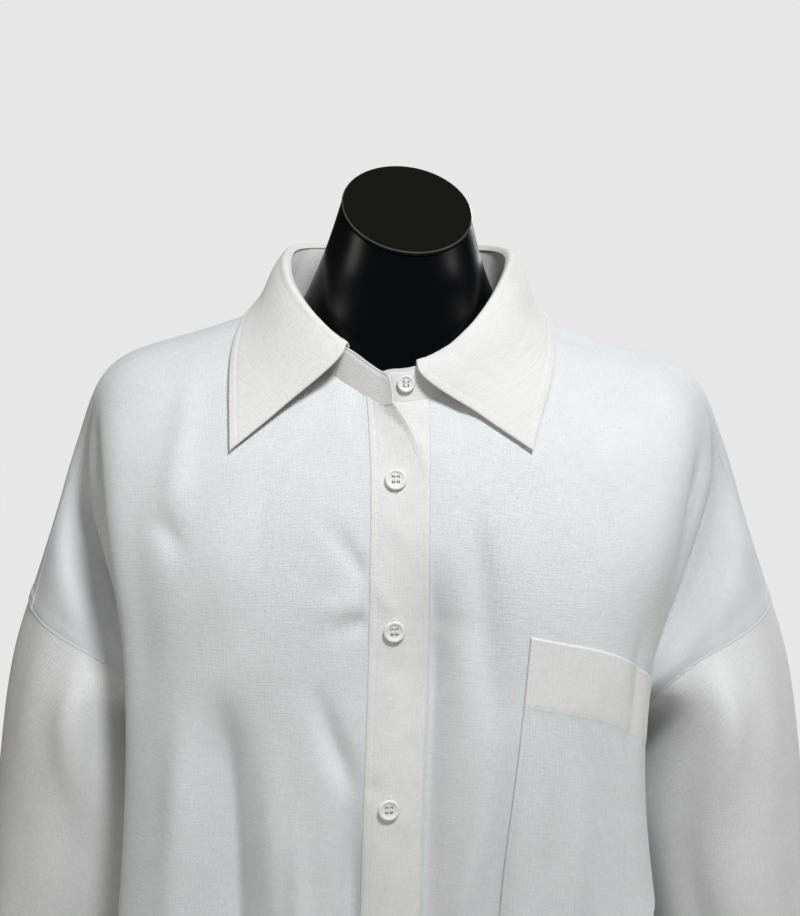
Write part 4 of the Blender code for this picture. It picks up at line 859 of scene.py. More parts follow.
def cotton(name, colour, depth=1.0):
    """Cotton twill: slanting ribs with slubs along warp and weft, mottling and a few dark neps."""
    finish, tree, shader = new_finish(name, colour, 0.86)
    lay = add_node(tree, "ShaderNodeUVMap", uv_map="cloth").outputs["UV"]
    twill = add_node(tree, "ShaderNodeTexWave", [
        ("Vector", lay), ("Scale", TWILL_SCALE), ("Distortion", 2.2), ("Detail", 2.0),
        ("Detail Scale", 0.35)], wave_type="BANDS", bands_direction="DIAGONAL").outputs["Fac"]
    strands = []
    for stretch in ((1.1, 0.13, 1.0), (0.11, 1.0, 1.0)):
        drawn = add_node(tree, "ShaderNodeMapping", [("Vector", lay), ("Scale", stretch)]).outputs[0]
        strands.append(noise(tree, drawn, 1.0, 3.0))
    slubs = reckon(tree, "ADD", *strands)
    emboss(tree, shader, reckon(tree, "MULTIPLY_ADD", twill, 0.45, slubs), 0.3 * MM * depth, 0.8)
    tone = remap(tree, slubs, 0.6, 1.4, 0.9, 1.06)
    cloud = remap(tree, noise(tree, lay, 0.03, 3.0), 0.3, 0.7, 0.97, 1.02)
    nep = add_node(tree, "ShaderNodeTexVoronoi", [("Vector", lay), ("Scale", 0.16)], feature="F1")
    dark = remap(tree, nep.outputs["Distance"], 0.035, 0.075, 0.72, 1.0)
    shade = reckon(tree, "MULTIPLY", reckon(tree, "MULTIPLY", tone, cloud), dark)
    tint = add_node(tree, "ShaderNodeVectorMath", [(0, colour), ("Scale", shade)], operation="SCALE")
    tree.links.new(tint.outputs[0], shader.inputs["Base Color"])
    shader.inputs["Sheen Weight"].default_value = 0.25
    shader.inputs["Sheen Roughness"].default_value = 0.6
    return finish


def front_points(side, surface):
    """Grid of a front: columns from the placket out to the armhole, each from neckline or yoke to hem."""
    inner = BAND_HALF_WIDTH + 0.5 * SEAM_GAP
    columns = inner + (HALF_WIDTH - inner) * graded(HALF_WIDTH - inner, CLOTH_STEP)
    columns = columns * side
    top = -np.maximum(-neck_row(columns), YOKE_FRONT_ROW)
    top = top - gap_in_rows(columns, top)
    shares = shares_down(side * 120.0, -YOKE_FRONT_ROW, -float(HEM_ROW), CLOTH_STEP)
    _, row = strip_of(columns, top, -hem_row(columns), shares)
    across = trimmed(grain_line(columns[:, None], row), row)
    base = surface(across, row)
    return base, looking_away(base), (across, down_at(row))


def inset_line(wall, edge, inset, skip=0.0):
    """Points and normals along a line a fixed way in from one edge, read between the grid's lines.

    What lies nearer than skip to the neighbouring edges is left out.
    """
    points, normal, run, side = wall["outer"], wall["normal"], wall["down"], wall["along"]
    if edge in ("start", "end"):
        points, normal = np.swapaxes(points, 0, 1), np.swapaxes(normal, 0, 1)
        run, side = wall["along"].T, wall["down"].T
    if edge in ("end", "foot"):
        points, normal, side = points[:, ::-1], normal[:, ::-1], side[:, ::-1]
        run = run[:, -1:] - run[:, ::-1]
    after = np.maximum(np.argmax(run > inset, axis=1), 1)
    k = np.arange(len(run))
    share = ((inset - run[k, after - 1]) / (run[k, after] - run[k, after - 1]))[:, None]
    line = points[k, after - 1] * (1 - share) + points[k, after] * share
    beside = side[k, after]
    kept = (beside > skip) & (beside < beside[-1] - skip)
    return line[kept], normal[k, after][kept]


def spindles(middle, ahead, up, length, radius, bow):
    """Short threads: tubes along their way ahead that thin to both ends and bow up in between."""
    u = np.array((-1.0, -0.8, 0.0, 0.8, 1.0))
    size = radius * np.array((0.35, 0.9, 1.0, 0.9, 0.35))
    aside = np.cross(up, ahead)
    arch = ahead[:, None] * (0.5 * length * u)[:, None] + up[:, None] * (bow * (1 - u**2))[:, None]
    angle = np.arange(6) * math.pi / 3
    ring = np.cos(angle)[:, None] * aside[:, None] + np.sin(angle)[:, None] * up[:, None]
    verts = (middle[:, None] + arch)[:, :, None] + size[:, None, None] * ring[:, None]
    index = np.arange(len(middle) * 30).reshape(-1, 5, 6)
    a, b = index, np.roll(index, -1, axis=2)
    sides = np.stack([a[:, :-1], b[:, :-1], b[:, 1:], a[:, 1:]], axis=-1).reshape(-1, 4)
    caps = np.concatenate([index[:, 0][:, (3, 2, 1, 0)], index[:, 0][:, (5, 4, 3, 0)],
                           index[:, -1][:, (0, 1, 2, 3)], index[:, -1][:, (0, 3, 4, 5)]])
    return verts.reshape(-1, 3), np.concatenate([sides, caps])


def stitched(points, normals, pitch=3.0, length=2.3, radius=0.2):
    """A row of stitches: spindles at an even pitch along a line, their ends sunk in the cloth."""
    run = np.concatenate([[0.0], np.cumsum(np.linalg.norm(np.diff(points, axis=0), axis=1))])
    place = (np.arange(max(int(run[-1] / pitch), 1)) + 0.5) * pitch

    def read(values, at):
        return np.stack([np.interp(at, run, part) for part in values.T], axis=-1)

    middle, up = read(points, place), read(normals, place)
    ahead = read(points, place + 0.5) - read(points, place - 0.5)
    ahead /= np.linalg.norm(ahead, axis=-1, keepdims=True)
    up -= ahead * np.sum(up * ahead, axis=-1, keepdims=True)
    up /= np.linalg.norm(up, axis=-1, keepdims=True)
    return spindles(middle - up * THREAD_SINK, ahead, up, length, radius, THREAD_BOW)


def sew(name, rows):
    """One piece of sewing thread from several rows of spindles."""
    verts = [points for points, _ in rows]
    first = np.cumsum([0] + [len(points) for points in verts])
    quads = [faces + count for (_, faces), count in zip(rows, first)]
    return put_quads(name, np.concatenate(verts) + FLOOR_LIFT, np.concatenate(quads), thread)


def topstitch(name, wall, *rows):
    """The thread of a piece: for each row its edge, its inset, and what it skips at its ends."""
    sew(name, [stitched(*inset_line(wall, *row)) for row in rows])


def sewn_front(word, side, surface):
    """The front of one side: its cloth on the surface given, its cut, and its stitched edges."""
    base, normal, lay = front_points(side, surface)
    wall = cloth_wall(f"{word}_front", base, normal, CLOTH, cotton_body, f"front_{word}", front_relief,
                      folded=("foot",), lay=lay)
    topstitch(f"{word}_front_stitches", wall, ("foot", HEM_STITCH), ("end", ARMHOLE_STITCH, HEM_CORNER))


thread = grained("sewing_thread", THREAD_WHITE, 0.6, 0.75, 3000.0, 0.02)
cotton_body = cotton("cotton_single", COOL_WHITE)
sewn_front("left", 1.0, drape)

# Right front
# The mirror of the left front's cut. Its band laps over the other, and the unbuttoned neck lets
# its upper corner swing out and forward.
OVERLAP_LIFT = CLOTH + LAYER_GAP
OVERLAP_FADE = 70.0
OPEN_SHIFT = 18.0
OPEN_FORWARD = 12.0
OPEN_END_ROW = 2.62
OPEN_FADE = 46.0


def open_neck(across, row):
    """How the unbuttoned upper front leans away: a power of the rows above the first button."""
    reach = np.clip((OPEN_END_ROW + row) / (OPEN_END_ROW - NECK_FRONT_ROW), 0.0, 1.2) ** 1.5
    reach = reach * ease((across - BAND_HALF_WIDTH + OPEN_FADE) / (1.3 * OPEN_FADE)) * 1.15 * (row < 0)
    return np.stack([-OPEN_SHIFT * reach, -OPEN_FORWARD * reach, 0.0 * reach], axis=-1)


def lapped_drape(across, row):
    """The inner face on the side that laps over: lifted clear of the under side, open at the neck."""
    lift = OVERLAP_LIFT * ease((across + BAND_HALF_WIDTH + OVERLAP_FADE) / OVERLAP_FADE) * (row < 0)
    base = drape(across, row) + outwards(bare_drape, across, row) * lift[..., None]
    return base + open_neck(across, row)


sewn_front("right", -1.0, lapped_drape)

# Back
# One plain ply from the yoke seam to the hem, hanging clear of the form in soft flutes.
# Distance across and row of the yoke's back seam
YOKE_BACK_ROWS = ((0.0, 2.9), (120.0, 2.72), (FOLD_EDGE, 2.42), (HALF_WIDTH, 1.1))
BACK_STEP = 4.8


def yoke_back_row(across):
    """Row of the seam between the yoke and the back: a curve through its table."""
    table = np.array(YOKE_BACK_ROWS)
    return curve_through(table[:, 0], table[:, 1], np.abs(across))


columns = HALF_WIDTH * (2 * graded(2 * HALF_WIDTH, BACK_STEP) - 1)
top = yoke_back_row(columns)
top = top + gap_in_rows(columns, top)
shares = shares_down(60.0, YOKE_BACK_ROWS[0][1], float(HEM_ROW), BACK_STEP)
across, row = strip_of(columns, top, hem_row(columns), shares)
base = drape(trimmed(across, row), row)


def back_relief(inset):
    """A turned hem at the foot, and the seam allowances beside the armholes."""
    beside = np.minimum(inset["start"], inset["end"])
    hem = turned_edge(inset["foot"], HEM_DEPTH, 0.5, HEM_STITCH)
    return hem + turned_edge(beside, ARMHOLE_ALLOWANCE, 0.35, ARMHOLE_STITCH)


back = cloth_wall("back_panel", base, looking_away(base), CLOTH, cotton_body, "back", back_relief,
                  folded=("foot",), lay=(across, down_at(row)))
topstitch("back_stitches", back, ("foot", HEM_STITCH), ("start", ARMHOLE_STITCH, HEM_CORNER),
          ("end", ARMHOLE_STITCH, HEM_CORNER))

# Yoke
# Two plies over the shoulders, sewn to the fronts just ahead of the shoulder line and to the
# back across the shoulder blades, and topstitched along its seams.
YOKE_STEP = 4.2
YOKE_DEPTH = 150.0
NECK_BACK_ROW = 1.3
NECK_CORNER = math.acos(-YOKE_FRONT_ROW / NECK_FRONT_ROW)
YOKE_BACK_TURN = math.radians(84.0)
YOKE_SIDE_STEPS = 22
EDGE_STITCH = 1.8


def neckline(turn):
    """The neckline by its angle from the centre back, as distance across and row: half ellipses."""
    across = NECK_HALF_WIDTH * np.sin(turn)
    depth = np.where(np.cos(turn) > 0, NECK_BACK_ROW, NECK_FRONT_ROW)
    return across, depth * np.cos(turn)


def yoke_points():
    """Grid of the yoke: from the neckline straight out to the front seams, armholes and back seam."""
    back = HALF_WIDTH * (2 * graded(2 * HALF_WIDTH, YOKE_STEP) - 1)
    past = np.linspace(YOKE_BACK_TURN, NECK_CORNER, YOKE_SIDE_STEPS)[1:]
    turns = np.concatenate([-past[::-1], back / HALF_WIDTH * YOKE_BACK_TURN, past])
    side_rows = np.linspace(YOKE_BACK_ROWS[-1][1], -YOKE_FRONT_ROW, YOKE_SIDE_STEPS)[1:]
    armhole = np.full(len(side_rows), HALF_WIDTH)
    outer_across = np.concatenate([-armhole, back, armhole])
    outer_row = np.concatenate([side_rows[::-1], yoke_back_row(back), side_rows])
    inner_across, inner_row = neckline(turns)
    share = graded(YOKE_DEPTH, YOKE_STEP)
    across = inner_across[:, None] + (outer_across - inner_across)[:, None] * share
    row = inner_row[:, None] + (outer_row - inner_row)[:, None] * share
    return drape(trimmed(across, row), row), (across, down_at(row))


def yoke_relief(inset):
    """The seam allowance inside the yoke shows as a soft step along its seams, edge stitched."""
    return turned_edge(inset["foot"], 7.0, 0.6, EDGE_STITCH)


def looking_up(base):
    """Normals of a grid turned, all or none, to look upwards."""
    normal = grid_normals(base)
    return normal if np.sum(normal[..., 2]) > 0 else -normal


base, lay = yoke_points()
yoke = cloth_wall("yoke_panel", base, looking_up(base), CLOTH, cotton_body, "yoke", yoke_relief, lay=lay)
topstitch("yoke_stitches", yoke, ("foot", EDGE_STITCH, 2.0))

# Plackets
# Bands 35 mm wide, folded double with interlining and sewn down the opening: the under one
# carries the buttons and the over one the buttonholes.
PLACKET_STEPS = (2.2, 3.0)
PLACKET_RISE = 0.35
WARM_WHITE = (0.755, 0.75, 0.73)
BAND_STITCH = 4.6


def placket_points(surface):
    """Grid of a band down the opening, straight along the cloth, from the neckline to the hem."""
    columns = BAND_HALF_WIDTH * (2 * graded(2 * BAND_HALF_WIDTH, PLACKET_STEPS[0]) - 1)
    shares = shares_down(0.0, -NECK_FRONT_ROW, -float(HEM_ROW), PLACKET_STEPS[1])
    across, row = strip_of(columns, neck_row(columns), np.full(len(columns), -float(HEM_ROW)), shares)
    base = surface(across, row)
    return base, looking_away(base)


def placket_relief(inset):
    """Proud of the front by its folded plies, with a row of stitching near each edge."""
    return PLACKET_RISE + turned_edge(np.minimum(inset["start"], inset["end"]), 5.0, 0.12, BAND_STITCH)


cotton_double = cotton("cotton_double", WARM_WHITE, 0.6)
# The over placket comes last, as it is the one whose stitching shows
for word, surface, relief in (("under", drape, None), ("over", lapped_drape, placket_relief)):
    base, normal = placket_points(surface)
    placket = cloth_wall(f"{word}_placket", base, normal, CLOTH, cotton_double, f"placket_{word}", relief,
                         folded=("start", "end", "foot"))
topstitch("placket_stitches", placket, ("start", BAND_STITCH), ("end", BAND_STITCH))

# Breast pocket
# A patch on the wearer's left front with a deep double hem at its mouth, edge stitched round its
# sides and its blunt pointed foot.
# Share of the width, level of the mouth and level of the foot
POCKET = (
    (0.0, -171.0, -350.0),
    (0.5, -186.0, -372.0),
    (1.0, -214.0, -352.0),
)
POCKET_STEPS = (2.4, 2.2)
POCKET_DEPTH = 180.0
POCKET_HEM = 42.0
POCKET_LIFT = 0.5


def row_at_level(across, level):
    """Row of the front at a height, for one distance across, read off the drape."""
    rows = np.linspace(-HEM_ROW, -1.0, 300)
    heights = drape(np.full_like(rows, across), rows)[:, 2]
    return float(np.interp(level, heights, rows))


def pocket_points():
    """Grid of the pocket: columns lean with the cloth, from its mouth's curve to its pointed foot."""
    table = np.array(POCKET)
    shares = graded(POCKET_WIDTH, POCKET_STEPS[0])
    columns = POCKET_TOP + POCKET_WIDTH * shares
    top_level = curve_through(table[:, 0], table[:, 1], shares)
    foot_level = np.interp(shares, table[:, 0], table[:, 2])
    lean = POCKET_TOP - POCKET_FOOT
    top = np.array([row_at_level(c, level) for c, level in zip(columns, top_level)])
    foot = np.array([row_at_level(c - lean, level) for c, level in zip(columns, foot_level)])
    _, row = strip_of(columns, top, foot, graded(POCKET_DEPTH, POCKET_STEPS[1]))
    base = drape(grain_line(columns[:, None], row), row)
    normal = looking_away(base)
    return base + normal * (CLOTH + POCKET_LIFT), normal


def pocket_relief(inset):
    """The hem stands a little proud, with a groove and small puckers along its stitching."""
    along, down = inset["start"], inset["top"]
    hem = 0.45 * (1 - ease((down - POCKET_HEM) / 1.4))
    wave = np.sin(along / 1.9 + 2.0 * np.sin(along / 13.0))
    pucker = 0.3 * wave * np.exp(-(((down - POCKET_HEM - 1.5) / 3.2) ** 2))
    groove = -0.35 * np.exp(-(((down - POCKET_HEM + 1.2) / 0.9) ** 2))
    edge = np.min([inset[side] for side in ("start", "end", "foot")], axis=0)
    return hem + pucker + groove + turned_edge(edge, 6.0, 0.25, EDGE_STITCH)


base, normal = pocket_points()
pocket = cloth_wall("breast_pocket", base, normal, CLOTH, cotton_body, "pocket", pocket_relief,
                    folded=("start", "end", "top", "foot"))
# The faces of the hem take the whiter double cloth
patch = pocket["piece"]
patch.data.materials.append(cotton_double)
lowest = np.tile(pocket["down"].ravel(), 2)[corners(patch)].reshape(-1, 4).max(axis=1)
patch.data.polygons.foreach_set("material_index", (lowest < POCKET_HEM + 0.5).astype(np.int32))
edges = [(edge, EDGE_STITCH, EDGE_STITCH) for edge in ("start", "end", "foot")]
topstitch("pocket_stitches", pocket, *edges, ("top", POCKET_HEM - 1.2, 2.5))

# Collar stand
# A stiff band sewn round the neckline. Its ends are rounded; the right one carries the buttonhole
# and the left one the button, left undone.
STAND_STITCH_CORNER = 3.0
# Share of the way round from the centre back, height, and lean into the neck
STAND = (
    (-1.0, 18.0, 0.22),
    (-0.88, 21.0, 0.06),
    (-0.7, 25.0, -0.07),
    (-0.5, 28.5, 0.08),
    (-0.25, 35.5, -0.16),
    (0.0, 39.0, -0.14),
    (0.25, 35.5, -0.16),
    (0.5, 28.5, 0.14),
    (0.8, 23.0, 0.20),
    (1.0, 19.0, 0.22),
)
STAND_TAIL_RADIUS = 17.0
STAND_TUCK = 1.5
STAND_STEPS = (2.2, 1.6)
STAND_LENGTH = 450.0
STAND_MIDDLE_HEIGHT = 28.0


def stand_table(turns):
    """Height and lean of the stand at angles round the neck: curves through its table."""
    table = np.array(STAND)
    return curve_through(table[:, 0], table[:, 1:], np.clip(turns / math.pi, -1.0, 1.0))


def inwards(turns):
    """Level ways into the neck at angles from the centre back."""
    return np.stack([-np.sin(turns), -np.cos(turns), np.zeros_like(turns)], axis=-1)


def laps_over(turns):
    """Where the collar lies on the side that laps over, as a column."""
    return (turns < -0.5 * math.pi)[:, None]


def neck_frame(turns):
    """Neckline points, the way into the neck along the cloth, and the way the stand rises."""
    over = laps_over(turns)
    across, row = neckline(turns)
    point = np.where(over, lapped_drape(across, row), drape(across, row))
    small = 0.004
    centre = across * (1 - small), row * (1 - small)
    into = np.where(over, lapped_drape(*centre), drape(*centre)) - point
    into /= np.linalg.norm(into, axis=-1, keepdims=True)
    lean = stand_table(turns)[:, 1]
    rise = inwards(turns) * lean[:, None] + (0.0, 0.0, 1.0)
    rise /= np.linalg.norm(rise, axis=-1, keepdims=True)
    return point, into, rise


def stand_points(turns, heights):
    """Inner face of the stand at heights above its foot, one row of heights for each angle."""
    point, into, rise = neck_frame(turns)
    along = np.sum(into * rise, axis=-1, keepdims=True)
    shift = 0.2 + STIFF_CLOTH * np.sqrt(np.clip(1 - along**2, 0, 1))
    foot = point + into * shift
    return foot[:, None, :] + rise[:, None, :] * heights[:, :, None]


stand_end = math.pi + math.asin(BAND_HALF_WIDTH / NECK_HALF_WIDTH)
turns = stand_end * (2 * graded(STAND_LENGTH, STAND_STEPS[0]) - 1)
tail = (stand_end - np.abs(turns)) * NECK_HALF_WIDTH
rounded = np.sqrt(np.clip(1 - (1 - np.clip(tail / STAND_TAIL_RADIUS, 0, 1)) ** 2, 0.0, 1.0))
height = stand_table(turns)[:, 0] * (0.25 + 0.75 * rounded)
shares = graded(STAND_MIDDLE_HEIGHT, STAND_STEPS[1], edge=4.0)
base = stand_points(turns, height[:, None] * shares - STAND_TUCK * (1 - shares))


def stand_relief(inset):
    """Edge stitched round its free ends and along its foot."""
    ends = np.minimum(inset["start"], inset["end"])
    return turned_edge(np.minimum(ends, inset["foot"] + 40.0 * (ends > 60.0)), 4.0, 0.1, EDGE_STITCH)


stand = cloth_wall("neck_stand", base, looking_away(base), STIFF_CLOTH, cotton_double, "collar_stand",
                   stand_relief, folded=("start", "end"))
topstitch("stand_stitches", stand, ("start", EDGE_STITCH, STAND_STITCH_CORNER),
          ("end", EDGE_STITCH, STAND_STITCH_CORNER))

# Collar fall
# The pointed collar, two plies with interlining. It rolls over the top of the stand and lies on
# the shoulders, edge stitched a presser foot's width in.
FALL_ROLL = 2.7
FALL_LIFT = 2.4
FALL_BULGE = -1.5
# Share of the way round from the centre back, then distance across and row of the outer edge
FALL_EDGE = (
    (-0.86, -101.0, -2.19),
    (-0.66, -102.0, -1.1),
    (-0.45, -92.0, 0.0),
    (-0.25, -74.0, 1.45),
    (0.0, 0.0, 2.12),
    (0.25, 74.0, 1.45),
    (0.45, 90.0, 0.0),
    (0.68, 93.0, -1.1),
    (0.955, 78.0, -2.22),
)
COLLAR_STITCH = 5.5
FALL_CUT = (520.0, 95.0, 0.75)
FALL_STEPS = (2.0, 1.6)
FALL_DEPTH = 78.0
FALL_EDGE_BAND = 9.0


def fall_points(shares, steps):
    """The fall: a curve over the roll at the top of the stand, then down to its edge on the cloth."""
    table = np.array(FALL_EDGE)
    ends = np.interp(shares, (-1.0, 0.0, 1.0), (table[0, 0], 0.0, table[-1, 0]))
    turns = ends * math.pi
    edge = curve_through(table[:, 0], table[:, 1:], ends)
    across, row = edge[:, 0], edge[:, 1]
    top = stand_points(turns, stand_table(turns)[:, :1] + SEAM_GAP)[:, 0]
    flat = -inwards(turns)
    _, _, rise = neck_frame(turns)
    right, left = (surface(across, row) + outwards(surface, across, row) * (CLOTH + FALL_LIFT)
                   for surface in (lapped_drape, drape))
    lying = np.where(laps_over(turns), right, left)
    peak = top + rise * FALL_ROLL * 0.9 + flat * FALL_ROLL
    turn_down = top + flat * (2.1 * FALL_ROLL) - rise * 1.0
    middle = 0.45 * turn_down + 0.55 * lying + (flat + (0.0, 0.0, 0.8)) * FALL_BULGE
    path = np.stack([top, peak, turn_down, middle, lying], axis=0)
    return curve_through((0.0, 0.06, 0.13, 0.55, 1.0), path, steps).transpose(1, 0, 2)


def fall_relief(inset):
    """A little thicker along its ends and outer edge, with a groove under the edge stitching."""
    edge = np.min([inset[side] for side in ("start", "end", "foot")], axis=0)
    return turned_edge(edge, COLLAR_STITCH - 0.5, 0.2, COLLAR_STITCH)


shares = 2 * graded(FALL_CUT[0], FALL_STEPS[0], edge=FALL_EDGE_BAND) - 1
base = fall_points(shares, graded(FALL_DEPTH, FALL_STEPS[1], edge=FALL_EDGE_BAND))
fall = cloth_wall("collar_leaf", base, looking_up(base), STIFF_CLOTH, cotton_double, "collar_fall",
                  fall_relief, folded=("start", "end", "foot"))
edges = [(edge, COLLAR_STITCH, COLLAR_STITCH) for edge in ("start", "end", "foot")]
topstitch("collar_stitches", fall, *edges)

# Sleeves
# Each is one ply, set into the dropped armhole, its seam under the arm. It hangs in long soft
# folds and is gathered a little into the cuff.
SLEEVE_COLUMNS = ("level", "centre", "half_width", "half_depth", "middle_y")
SLEEVE_RINGS = (
    (-335.0, 209.0, 60.0, 73.0, 0.0),
    (-440.0, 226.0, 60.0, 70.0, 4.0),
    (-560.0, 249.0, 55.0, 62.0, 8.0),
    (-628.0, 257.0, 47.0, 54.0, 10.0),
    (-652.0, 259.0, 38.0, 45.0, 10.0),
)
# Folds by their place round the sleeve, in rows, and their drift along it; shares of its length
# where each starts, is fullest and ends; how far it stands out, and half its width in rows
SLEEVE_FOLD_COLUMNS = ("turn", "drift", "start", "full", "end", "out", "width")
SLEEVE_FOLDS = (
    (-3.4, 0.5, 0.10, 0.45, 1.02, -4.4, 0.34),
    (-2.5, 0.3, 0.22, 0.60, 1.05, 3.4, 0.36),
    (-1.3, -0.3, 0.16, 0.62, 1.05, -4.6, 0.30),
    (-0.4, 0.2, 0.36, 0.80, 1.05, 2.6, 0.28),
    (0.5, 0.3, 0.40, 0.85, 1.08, -3.4, 0.26),
    (1.5, 0.2, 0.20, 0.60, 1.05, 3.6, 0.30),
    (2.5, -0.3, 0.15, 0.55, 1.02, -4.8, 0.36),
    (3.7, -0.4, 0.12, 0.50, 1.02, 3.0, 0.34),
    (4.6, 0.1, 0.30, 0.70, 1.05, -3.2, 0.30),
)
# The body's one-ply cotton tinted a little warmer and lighter: painted warm light on the sleeves
SLEEVE_WARM_LIGHT_WHITE = (0.74, 0.742, 0.735)
SLEEVE_CUT = (480.0, 500.0, 0.85)
SLEEVE_TOP = -187.0
SLEEVE_LENGTH = 465.0
SLEEVE_SIDES = 132
GATHERS = 17
GATHER_DEPTH = 1.1


def armhole_frame(side, rows):
    """Armhole seam points, the way the sleeve sets off and the way its outer face looks."""
    across = side * (HALF_WIDTH + half_gap_across(rows))
    seam = drape(across, rows)
    normal = outwards(drape, across, rows)
    along = np.roll(seam, -1, axis=0) - np.roll(seam, 1, axis=0)
    onward = -np.cross(normal, along) * side
    onward /= np.linalg.norm(onward, axis=-1, keepdims=True)
    turn = 0.5 * math.pi * ease((np.abs(rows) - 4.0) / 0.8)[:, None]
    start = seam + onward * np.sin(turn) * (CLOTH + SEAM_GAP)
    set_off = onward * np.cos(turn) + normal * np.sin(turn)
    face = normal * np.cos(turn) - onward * np.sin(turn)
    reach = 21.0 - 12.0 * ease((np.abs(rows) - 2.6) / 1.4)[:, None]
    return start, start + set_off * reach, face


def sleeve_points(side, rows, shares):
    """The sleeve: curves from the armhole seam down through its level rings."""
    start, ahead, _ = armhole_frame(side, rows)
    angle = math.pi * rows / ARMPIT_ROW
    path, knots = [start, ahead], [0.0, 0.045]
    for ring in named(SLEEVE_RINGS, SLEEVE_COLUMNS):
        x = side * (ring["centre"] + ring["half_width"] * np.cos(angle))
        y = ring["middle_y"] + ring["half_depth"] * np.sin(angle)
        path.append(np.stack([x, y, np.full_like(x, ring["level"])], axis=-1))
        knots.append((SLEEVE_TOP - ring["level"]) / SLEEVE_LENGTH)
    return curve_through(knots, np.stack(path), shares).transpose(1, 0, 2)


def sleeve_height(side, rows, shares):
    """Folds down the sleeve: bells round it that drift as they run, and fine gathers at the cuff."""
    turn, share = np.meshgrid(rows, shares, indexing="ij")
    height = np.zeros(turn.shape)
    for fold in named(SLEEVE_FOLDS, SLEEVE_FOLD_COLUMNS):
        middle = fold["turn"] * side + fold["drift"] * share
        apart = (turn - middle + ARMPIT_ROW) % (2 * ARMPIT_ROW) - ARMPIT_ROW
        swell = ease((share - fold["start"]) / (fold["full"] - fold["start"]))
        swell = swell * (1 - ease((share - fold["full"]) / (fold["end"] - fold["full"])))
        height += fold["out"] * swell * np.exp(-((apart / fold["width"]) ** 2))
    wave = np.sin(GATHERS * math.pi * turn / ARMPIT_ROW + 1.3 * np.sin(3 * math.pi * turn / ARMPIT_ROW))
    near_cuff = ease((share - 0.8) / 0.14) * (1 - ease((share - 0.97) / 0.03))
    return height + GATHER_DEPTH * wave * near_cuff


# The sleeves' warmer tint is painted warm light on the same cloth as the body
cotton_sleeve_warm_lit = cotton("cotton_sleeve_warm_lit", SLEEVE_WARM_LIGHT_WHITE)
for word, side in (("right", -1.0), ("left", 1.0)):
    rows = np.linspace(-ARMPIT_ROW, ARMPIT_ROW, SLEEVE_SIDES, endpoint=False)
    shares = graded(SLEEVE_CUT[0], CLOTH_STEP)
    base = sleeve_points(side, rows, shares)
    outer = -grid_normals(base, True) * side
    base = base + outer * sleeve_height(side, rows, shares)[..., None]
    normal = -grid_normals(base, True) * side
    normal[:, 0] = armhole_frame(side, rows)[2]
    sleeve = cloth_wall(f"{word}_sleeve", base, normal, CLOTH, cotton_sleeve_warm_lit, f"sleeve_{word}", closed=True)

# Cuffs
# Stiff bands wound once round the wrist and lapped, the lap climbing over its own start, closed
# by one small button.
CUFF_TOP = -652.6
CUFF_LENGTH = 63.4
CUFF_HALF_WIDTH = 37.0
CUFF_HALF_DEPTH = 44.0
CUFF_CENTRE = 260.0
CUFF_MIDDLE_Y = 10.0
CUFF_OVERLAP = 22.0
CUFF_START = 40.0
CUFF_STEP = 2.6


def cuff_shares():
    """Shares of a turn round the wrist at the columns of a cuff, up to the end of its lap."""
    length = math.pi * (CUFF_HALF_WIDTH + CUFF_HALF_DEPTH)
    return graded(length + CUFF_OVERLAP, CUFF_STEP) * (1.0 + CUFF_OVERLAP / length)


def cuff_points(side):
    """Grid of a cuff: an ellipse wound a little more than once, lifting as it laps over itself."""
    share = cuff_shares()
    lift = (STIFF_CLOTH + LAYER_GAP) * ease((share - 0.80) / 0.18)
    angle = side * (2 * math.pi * share + math.radians(CUFF_START))
    levels = CUFF_TOP - CUFF_LENGTH * graded(CUFF_LENGTH, CUFF_STEP)
    x = side * (CUFF_CENTRE + (CUFF_HALF_WIDTH + lift) * np.cos(angle))
    y = CUFF_MIDDLE_Y + (CUFF_HALF_DEPTH + lift) * np.sin(angle) * side
    points = np.stack(np.broadcast_arrays(x[:, None], y[:, None], levels), axis=-1)
    return points, looking_away(points, (side * CUFF_CENTRE, CUFF_MIDDLE_Y, 0.0))


def cuff_relief(inset):
    """A little thicker round its edges, with a row of stitching near them."""
    return turned_edge(np.min(list(inset.values()), axis=0), 5.0, 0.15, BAND_STITCH)


for word, side in (("right", -1.0), ("left", 1.0)):
    base, normal = cuff_points(side)
    cuff = cloth_wall(f"{word}_cuff", base, normal, STIFF_CLOTH, cotton_double, f"cuff_{word}", cuff_relief,
                      folded=("start", "end", "top", "foot"))
    edges = [(edge, BAND_STITCH, BAND_STITCH) for edge in ("top", "foot", "end")]
    topstitch(f"{word}_cuff_stitches", cuff, *edges)

# Buttons
# White resin shirt buttons, turned with a flat rim round a dished middle, drilled with four holes
# and sewn on with two bars of thread. Satin-stitched buttonholes lie under the front ones.
BUTTON_RADIUS = 6.3
SMALL_BUTTON_RADIUS = 5.2
BUTTON_HEIGHT = 2.4
BUTTON_LIFT = 0.3
BUTTON_OFFSET = -2.5
BUTTON_LEVELS = (-84.5, -168.5, -272.5, -368.0, -463.0, -558.0)
